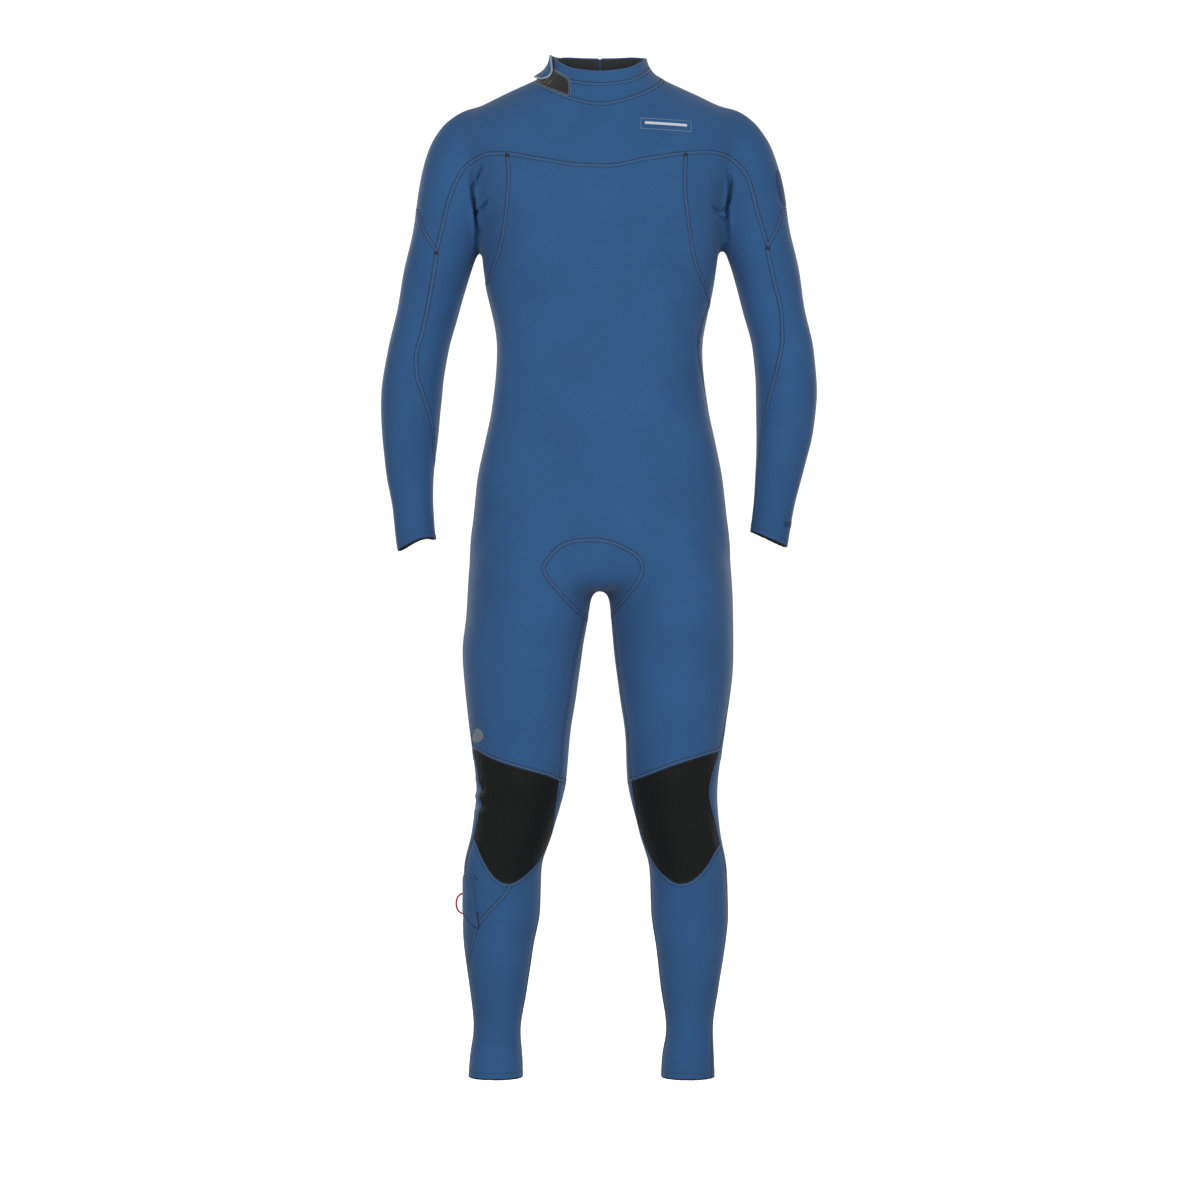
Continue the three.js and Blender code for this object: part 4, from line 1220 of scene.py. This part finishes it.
# The root fills the gap between the collar and the tab behind the wearer's left.
_, root_sheet = patch(
    near_neck, lambda x, y, z: np.minimum(on_tab(x, y, z), x - 8), 0.35, TAB_UNDER + 0.1, bevel=0.6, drop=0.1
)
piece("vis_tab_root", root_sheet, [jersey, lining], "tab")
binding = [ribbon(*raised(line, TAB_MIDDLE), bead(1.15, 1.1)) for line in rims(tab_mesh)]
bundle("vis_tab_binding", binding, pale_thread, body="tab")
stitch_lines = level_line(near_neck, lambda x, y, z: on_tab(x, y, z) - TAB_STITCH_INSET)
rows = [row_of_stitches(line, 0, 2.6, 1.8, 0.8, 0.35, TAB_TOP - 0.05) for line in stitch_lines]
bundle("vis_tab_stitching", rows, navy_thread, body="tab")
_, pad_sheet = patch(
    near_neck, lambda x, y, z: np.minimum(on_tab(x, y, z) - 3, round_neck(x, y, z)[0] - PAD_FROM),
    1.8, 2.8, bevel=0.8,
)
piece("vis_tab_hook_pad", pad_sheet, [hook_pile, black_cloth], "tab", ["tab_hook_pad"])

loop_outline = smooth_loop(LOOP_PATCH, 4)


def near_loop_patch(x, y, z):
    return near_neck(x, y, z + 25) & (y < 4) & (x < -20)


def on_loop_patch(x, y, z):
    return np.where(y < 4, inside(loop_outline, x, z), -5.0)


loop_mesh, loop_sheet = patch(near_loop_patch, on_loop_patch, 0.3, 1.5)
piece("vis_collar_loop_patch", loop_sheet, [loop_pile, black_cloth], nodes=["collar_loop_patch"])
patch_edges = rims(loop_mesh)
rows = [
    row_of_stitches(line, offset, 2.0, 1.5, 0.8, 0.35, 1.35) for offset in (1.0, -1.0) for line in patch_edges
]
bundle("vis_loop_patch_edging", rows, pale_thread)


def tacks(places, slope, length, thread_width, height, near):
    """Dense bars of stitching at (x, z) places in the front view, slanting by slope."""
    points, normals, _ = BASE
    rows = []
    for x, z in places:
        local = np.flatnonzero((np.hypot(points[:, 0] - x, points[:, 2] - z) < 7) & near(*points.T))
        weight = np.exp(-((np.hypot(points[local, 0] - x, points[local, 2] - z) / 3) ** 2))[:, None]
        n = unit((normals[local] * weight).sum(0))
        y = (points[local, 1:2] * weight).sum() / weight.sum()
        along = np.array([math.cos(slope), 0, math.sin(slope)])
        along = unit(along - n * (along @ n))
        steps = np.linspace(-length / 2, length / 2, max(int(length / 0.9), 2))[:, None]
        centre = np.array([x, y, z]) + along * steps + n * height
        across = unit(np.cross(n, along))
        count = len(centre)
        normal, direction = np.tile(n, (count, 1)), np.tile(across, (count, 1))
        rows.append(threads(centre, normal, direction, thread_width, 1.0, 0.35))
    return rows


# Two pale tacks hold the loop patch beside the tab's end.
patch_tacks = tacks([(-66, 18.5), (-62.5, 15.5)], 0.95, 8.5, 1.3, 1.6, lambda x, y, z: y < 4)
bundle("vis_patch_tacks", patch_tacks, tan_thread)

# Reinforcement where three seams meet.
JUNCTIONS = [(-116, -79), (107, -79), (-206, -198), (211, -192), (136, -250)]
crossed = [tacks(JUNCTIONS, slope, 5.5, 2.4, 0.75, lambda x, y, z: y < 10) for slope in (0.5, -0.9)]
bundle("vis_junction_tacks", crossed[0] + crossed[1], navy_thread)

# ---------------------------------------------------------------- key pocket on the right calf

# The flap is drawn in the side view as (y, z).
FLAP = [
    (-31, -986), (-10, -986), (15, -986), (17, -1004), (16.5, -1018), (12, -1027), (-4, -1033), (-18, -1040),
    (-30, -1048), (-34, -1047), (-33, -1028), (-32, -1006),
]
FREE_EDGE_Z = -1026  # below this the flap's edge is free and bound
flap_outline = smooth_loop(FLAP, 5)


def near_pocket(x, y, z):
    return (x < -120) & (z < -960) & (z > -1070)


def on_flap(x, y, z):
    return np.where(x < -124, inside(flap_outline, y, z), -5.0)


flap_mesh, flap_sheet = patch(near_pocket, on_flap, 0.35, 1.8, 2, 7.0, 0.94)
piece("vis_key_pocket_flap", flap_sheet, [jersey, jersey], "pocket_flap", ["key_pocket_flap"])
edging = []
for place, normal, direction in rims(flap_mesh):
    free = place[:, 2] < FREE_EDGE_Z
    for run in np.split(np.arange(len(place)), np.flatnonzero(np.diff(free.astype(int))) + 1):
        if len(run) > 6 and free[run[1]]:
            edging.append(ribbon(place[run] + normal[run] * 0.9, normal[run], direction[run], bead(0.75)))
bundle("vis_flap_edging", edging, navy_thread, body="pocket_flap")
for name, at, slope, length, body in [
    ("top", (-156, -985), -0.85, 8.5, "suit"), ("front", (-154.5, -1033.5), 0.95, 8.0, "pocket_flap"),
]:
    tack = tacks([at], slope, length, 1.3, 0.9, lambda x, y, z: y < 20)
    bundle("vis_flap_tack_" + name, tack, navy_thread, body=body)
_, lining_sheet = patch(near_pocket, lambda x, y, z: on_flap(x, y, z) + 4, -4.2, UNDER_WALL)
piece("vis_key_pocket_lining", lining_sheet, [black_cloth, black_cloth], nodes=["key_pocket_lining"])
key_loop.data.materials.append(red_braid)
placed(key_loop, nodes=["key_loop"])

# ---------------------------------------------------------------- hems

HEM_DEPTH, HEM_STITCH, HEM_INSIDE = 12.0, 9.0, -4.3
for limb, gap, near in [
    ("wrist", lambda x, y, z: cuff_gap(x, z), lambda x, y, z: (np.abs(x) > 172) & (z < -500)),
    ("ankle", lambda x, y, z: z - ANKLE_Z, lambda x, y, z: z < -1180),
]:
    for side, sign in (("right", -1), ("left", 1)):
        here = lambda x, y, z: near(x, y, z) & (sign * x > 0)
        edge = lambda x, y, z: np.minimum(gap(x, y, z), HEM_EDGE - gap(x, y, z))
        band = lambda x, y, z: np.minimum(gap(x, y, z), HEM_DEPTH - gap(x, y, z))
        _, edge_sheet = patch(here, edge, HEM_INSIDE, 0.05, 1, 0.7, 0.3)
        _, band_sheet = patch(here, band, HEM_INSIDE, UNDER_WALL, 0)
        node = f"{limb}_hem_{side}"
        piece("vis_" + node, joined(edge_sheet, band_sheet), [black_cloth, black_cloth], nodes=[node])
        lines = level_line(here, lambda x, y, z: gap(x, y, z) - HEM_STITCH)
        bundle(f"vis_{limb}_stitching_{side}", [row_of_stitches(line, 0) for line in lines], navy_thread)
collar_rims = [even(V, N, run, 2.0) for run in chains(rim_pairs[rim_owner == number("collar_upper_band")])]
collar_edge = [ribbon(*raised(line, -1.4), bead(1.5, 1.0)) for line in collar_rims if len(line[0]) > 20]
bundle("vis_collar_edge", collar_edge, seam_jersey)

# ---------------------------------------------------------------- back zip


TAPE_TOP_Z = 35.0  # the tapes run on a little behind the collar


def near_spine(x, y, z):
    return (y > 30) & (np.abs(x) < 70) & (z > -440) & (z < 50)


def strip(x0, x1, z0, z1):
    return lambda x, y, z: np.minimum(np.minimum(x - x0, x1 - x), np.minimum(z - z0, z1 - z))


for side, x0, x1 in (("right", -26.0, -0.3), ("left", 0.3, 26.0)):
    _, tape_sheet = patch(near_spine, strip(x0, x1, ZIP_END_Z - 14, TAPE_TOP_Z), -4.1, UNDER_WALL, bevel=0.6)
    piece(f"vis_zip_tape_{side}", tape_sheet, [tape_weave, tape_weave], nodes=[f"zip_tape_{side}"])
_, barrier_sheet = patch(near_spine, strip(-44, 44, ZIP_END_Z - 30, TAPE_TOP_Z - 4), -6.4, -4.4, bevel=1.2)
piece("vis_zip_barrier_flap", barrier_sheet, [lining, lining], nodes=["zip_barrier_flap"])

# Moulded teeth: a rounded head on a narrow neck, every other one from each side.
TOOTH_PITCH = 3.4
CHAIN_Y = SPINE_Y - 2.7  # underside of the chain
HEAD_Y, CHAIN_TOP_Y = CHAIN_Y + 1.2, CHAIN_Y + 2.6
TOOTH_MIDDLE_X = 1.55
TOOTH_OUTLINE = [
    (4.2, -0.8), (4.2, 0.8), (1.4, 0.7), (0.6, 1.0), (-0.7, 0.95), (-1.1, 0.5), (-1.1, -0.5), (-0.7, -0.95),
    (0.6, -1.0), (1.4, -0.7),
]
# The foot is one strip that all the teeth of a side stand on.
FOOT_FACES = np.array([
    (0, 1, 3), (0, 3, 2), (4, 6, 7), (4, 7, 5), (0, 4, 5), (0, 5, 1), (2, 3, 7), (2, 7, 6), (0, 2, 6),
    (0, 6, 4),
    (1, 5, 7), (1, 7, 3),
])
tooth_faces = []
K = len(TOOTH_OUTLINE)
for ring in range(2):
    for j in range(K):
        k = (j + 1) % K
        a, b, c, d = ring * K + j, ring * K + k, (ring + 1) * K + k, (ring + 1) * K + j
        tooth_faces += [(a, b, c), (a, c, d)]
tooth_faces += [(2 * K, 2 * K + j, 2 * K + j + 1) for j in range(1, K - 1)]
tooth_faces += [(0, j + 1, j) for j in range(1, K - 1)]
for side, sign in (("right", -1), ("left", 1)):
    heights = np.arange(ZIP_TOP_Z - 1.6 - (0 if sign < 0 else TOOTH_PITCH / 2), ZIP_END_Z + 1.2, -TOOTH_PITCH)
    rings = []
    for y, shrink in ((HEAD_Y, 1.0), (CHAIN_TOP_Y - 0.4, 1.0), (CHAIN_TOP_Y, 0.72)):
        rings += [
            (sign * (TOOTH_MIDDLE_X + (x - TOOTH_MIDDLE_X) * shrink), y, z * shrink) for x, z in TOOTH_OUTLINE
        ]
    tooth = np.array(rings)
    verts = (tooth[None] + np.stack([0 * heights, 0 * heights, heights], 1)[:, None]).reshape(-1, 3)
    faces = (np.arange(len(heights))[:, None, None] * len(tooth) + np.array(tooth_faces)[None]).reshape(-1, 3)
    foot_x = sorted((sign * 1.5, sign * 3.2))
    foot_y, foot_z = (CHAIN_Y, HEAD_Y + 0.1), (ZIP_END_Z, ZIP_TOP_Z)
    corners = np.array([(x, y, z) for x in foot_x for y in foot_y for z in foot_z])
    parts = [(verts, faces), (corners, FOOT_FACES)]
    made = bundle(f"vis_zip_teeth_{side}", parts, tooth_plastic, nodes=[f"zip_teeth_{side}"])
    made.data.polygons.foreach_set("use_smooth", [False] * len(made.data.polygons))


def eased_copy(node, body, material, width):
    """A copy of a hard CAD piece with its edges rounded over."""
    data = frame["nodes"][node].data.copy()
    data.materials.clear()
    data.materials.append(material)
    made = bpy.data.objects.new("vis_" + node, data)
    collection.objects.link(made)
    work = bmesh.new()
    work.from_mesh(data)
    bmesh.ops.remove_doubles(work, verts=work.verts, dist=1e-6)
    bmesh.ops.dissolve_limit(work, angle_limit=math.radians(2), verts=work.verts, edges=work.edges)
    work.to_mesh(data)
    work.free()
    data.polygons.foreach_set("use_smooth", [True] * len(data.polygons))
    round_over = made.modifiers.new("round_over", "BEVEL")
    round_over.width, round_over.segments, round_over.limit_method = width, 3, "ANGLE"
    round_over.angle_limit = math.radians(35)
    round_over.harden_normals = True
    placed(made, body, [node])


eased_copy("zip_top_stop", "suit", tooth_plastic, 0.0004)
eased_copy("zip_bottom_stop", "suit", tooth_plastic, 0.0005)
eased_copy("zip_slider", "slider", zip_metal, 0.00035)
eased_copy("zip_puller", "puller", zip_metal, 0.0004)

# ---------------------------------------------------------------- plain marks in place of printing


PRINT_LOW, PRINT_HIGH = 0.05, 0.3  # heights over the skin


def printed(name, near, field, material, rounds=2):
    _, sheet = patch(near, field, PRINT_LOW, PRINT_HIGH, rounds, 0.3, 0.2)
    piece(name, sheet, [material, material])


def bar(x0, z0, x1, z1, tilt=0.0):
    """A rectangle's corners, dropping by tilt along its length."""
    return np.array([(x0, z0), (x1, z0 - tilt), (x1, z1 - tilt), (x0, z1)], float)


def traced(corners, step=2.0):
    """A line drawn on the skin through (x, z) points seen from the front."""
    flat = np.array(corners, float)
    travelled = lengths_along(flat)
    x, z = spaced(np.linspace(0, travelled[-1], int(travelled[-1] / step) + 2), travelled, flat).T
    points, normals, _ = BASE
    beside = (np.abs(points[:, 0] - x.mean()) < 60) & (np.abs(points[:, 2] - z.mean()) < 60)
    local = np.flatnonzero((points[:, 1] < 20) & beside)
    near = np.hypot(points[local, 0][:, None] - x, points[local, 2][:, None] - z)
    weight = np.exp(-((near / 3.4) ** 2))
    weight /= weight.sum(0)
    y = (weight * points[local, 1][:, None]).sum(0)
    normal = unit(weight.T @ normals[local])
    place = np.stack([x, y, z], 1)
    return place, normal, unit(np.gradient(place, axis=0))


def printed_line(name, corners, width, material):
    profile = [(width / 2, 0.1), (0, PRINT_HIGH), (-width / 2, 0.1)]
    bundle(name, [ribbon(*traced(corners), profile)], material)


CHEST_MARK = bar(51, -46, 114, -32.5, 3)
for k, (a, b) in enumerate(zip(CHEST_MARK, np.roll(CHEST_MARK, -1, 0))):
    printed_line(f"mark_chest_frame_{k}", [a, b], 0.7, print_grey)
printed_line("mark_chest_bar", [(56, -38.5), (109, -41)], 3.6, print_pale)
thigh_blot = smooth_loop([(-161, -811), (-153, -814), (-146, -807), (-149, -799), (-156, -797)], 4)
printed(
    "mark_thigh", lambda x, y, z: (x < -120) & (z > -830) & (z < -780) & (y < 0),
    lambda x, y, z: inside(thigh_blot, x, z), print_grey,
)
printed(
    "mark_cuff", lambda x, y, z: (x > 215) & (z < -515) & (z > -560) & (y < -5),
    lambda x, y, z: inside(bar(232, -543, 244, -536), x, z), print_navy,
)
# A plain lozenge on the outside of the left arm, drawn in the side view as (y, z).
LOZENGE = [(-24, -95), (-6, -90), (8, -98), (10, -118), (-2, -134), (-18, -136), (-28, -122)]
arm_lozenge = smooth_loop(LOZENGE, 4)
printed(
    "mark_upper_arm", lambda x, y, z: (x > 185) & (z > -150) & (z < -70),
    lambda x, y, z: np.where(x > 190, inside(arm_lozenge, y, z), -5.0), print_navy, 1,
)

# ---------------------------------------------------------------- stage and lights

FLOOR_Z = -1.345
STUDIO_RADIUS, COVE_RADIUS, WALL_HEIGHT = 9.0, 2.5, 8.0
AROUND = 64
# A round paper backdrop: floor, cove and wall, as (radius, height over the floor).
flat_radius = STUDIO_RADIUS - COVE_RADIUS
backdrop_profile = [(radius, 0.0) for radius in (0.0, 1.5, 3.0, 5.0, flat_radius)]
for a in range(10, 91, 10):
    a = math.radians(a)
    backdrop_profile.append((flat_radius + COVE_RADIUS * math.sin(a), COVE_RADIUS * (1 - math.cos(a))))
backdrop_profile.append((STUDIO_RADIUS, WALL_HEIGHT))
points, quads = [], []
for radius, height in backdrop_profile:
    for k in range(AROUND):
        turn = math.tau * k / AROUND
        points.append((radius * math.sin(turn), radius * math.cos(turn), FLOOR_Z + height))
for i in range(len(backdrop_profile) - 1):
    for k in range(AROUND):
        across = (k + 1) % AROUND
        quads.append((i * AROUND + k, i * AROUND + across, (i + 1) * AROUND + across, (i + 1) * AROUND + k))
floor_mesh = bpy.data.meshes.new("studio_backdrop")
floor_mesh.from_pydata(points, [], quads)
floor_mesh.polygons.foreach_set("use_smooth", [True] * len(floor_mesh.polygons))
floor = bpy.data.objects.new("studio_backdrop", floor_mesh)
collection.objects.link(floor)
# The paper is seen but doesn't shade the lights beyond it.
floor.visible_diffuse = floor.visible_glossy = floor.visible_shadow = False
paper = Shader("studio_paper", 0.9, Emission_Color=(1, 1, 1, 1), Emission_Strength=0.76)
paper.colour(paper.noise(0.4, 2.0), (0.86, 0.86, 0.86, 1), (0.9, 0.9, 0.9, 1))
floor_mesh.materials.append(paper.made)


def softbox(name, place, target, width, height, power):
    data = bpy.data.lights.new(name, "AREA")
    data.shape, data.size, data.size_y, data.energy = "RECTANGLE", width, height, power
    made = bpy.data.objects.new(name, data)
    aim = [b - a for a, b in zip(place, target)]
    made.location = place
    flat = math.hypot(aim[0], aim[1])
    made.rotation_euler = (math.atan2(flat, -aim[2]), 0, math.atan2(-aim[0], aim[1]))
    collection.objects.link(made)


middle = (0, 0, -0.7)
for name, place, width, height, power in [
    ("key_light", (-1.6, -3.8, 0.5), 1.6, 2.6, 76), ("fill_light", (1.9, -3.7, -0.1), 1.6, 2.6, 66),
    ("back_right", (-2.2, 3.4, 0.4), 1.4, 2.4, 56), ("back_left", (2.2, 3.4, 0.1), 1.4, 2.4, 56),
]:
    softbox(name, place, middle, width, height, power)

world = bpy.data.worlds.new("studio")
scene.world = world
world.use_nodes = True
world.node_tree.nodes["Background"].inputs["Color"].default_value = (1, 1, 1, 1)
world.node_tree.nodes["Background"].inputs["Strength"].default_value = 0.36
scene.view_settings.view_transform = "Standard"
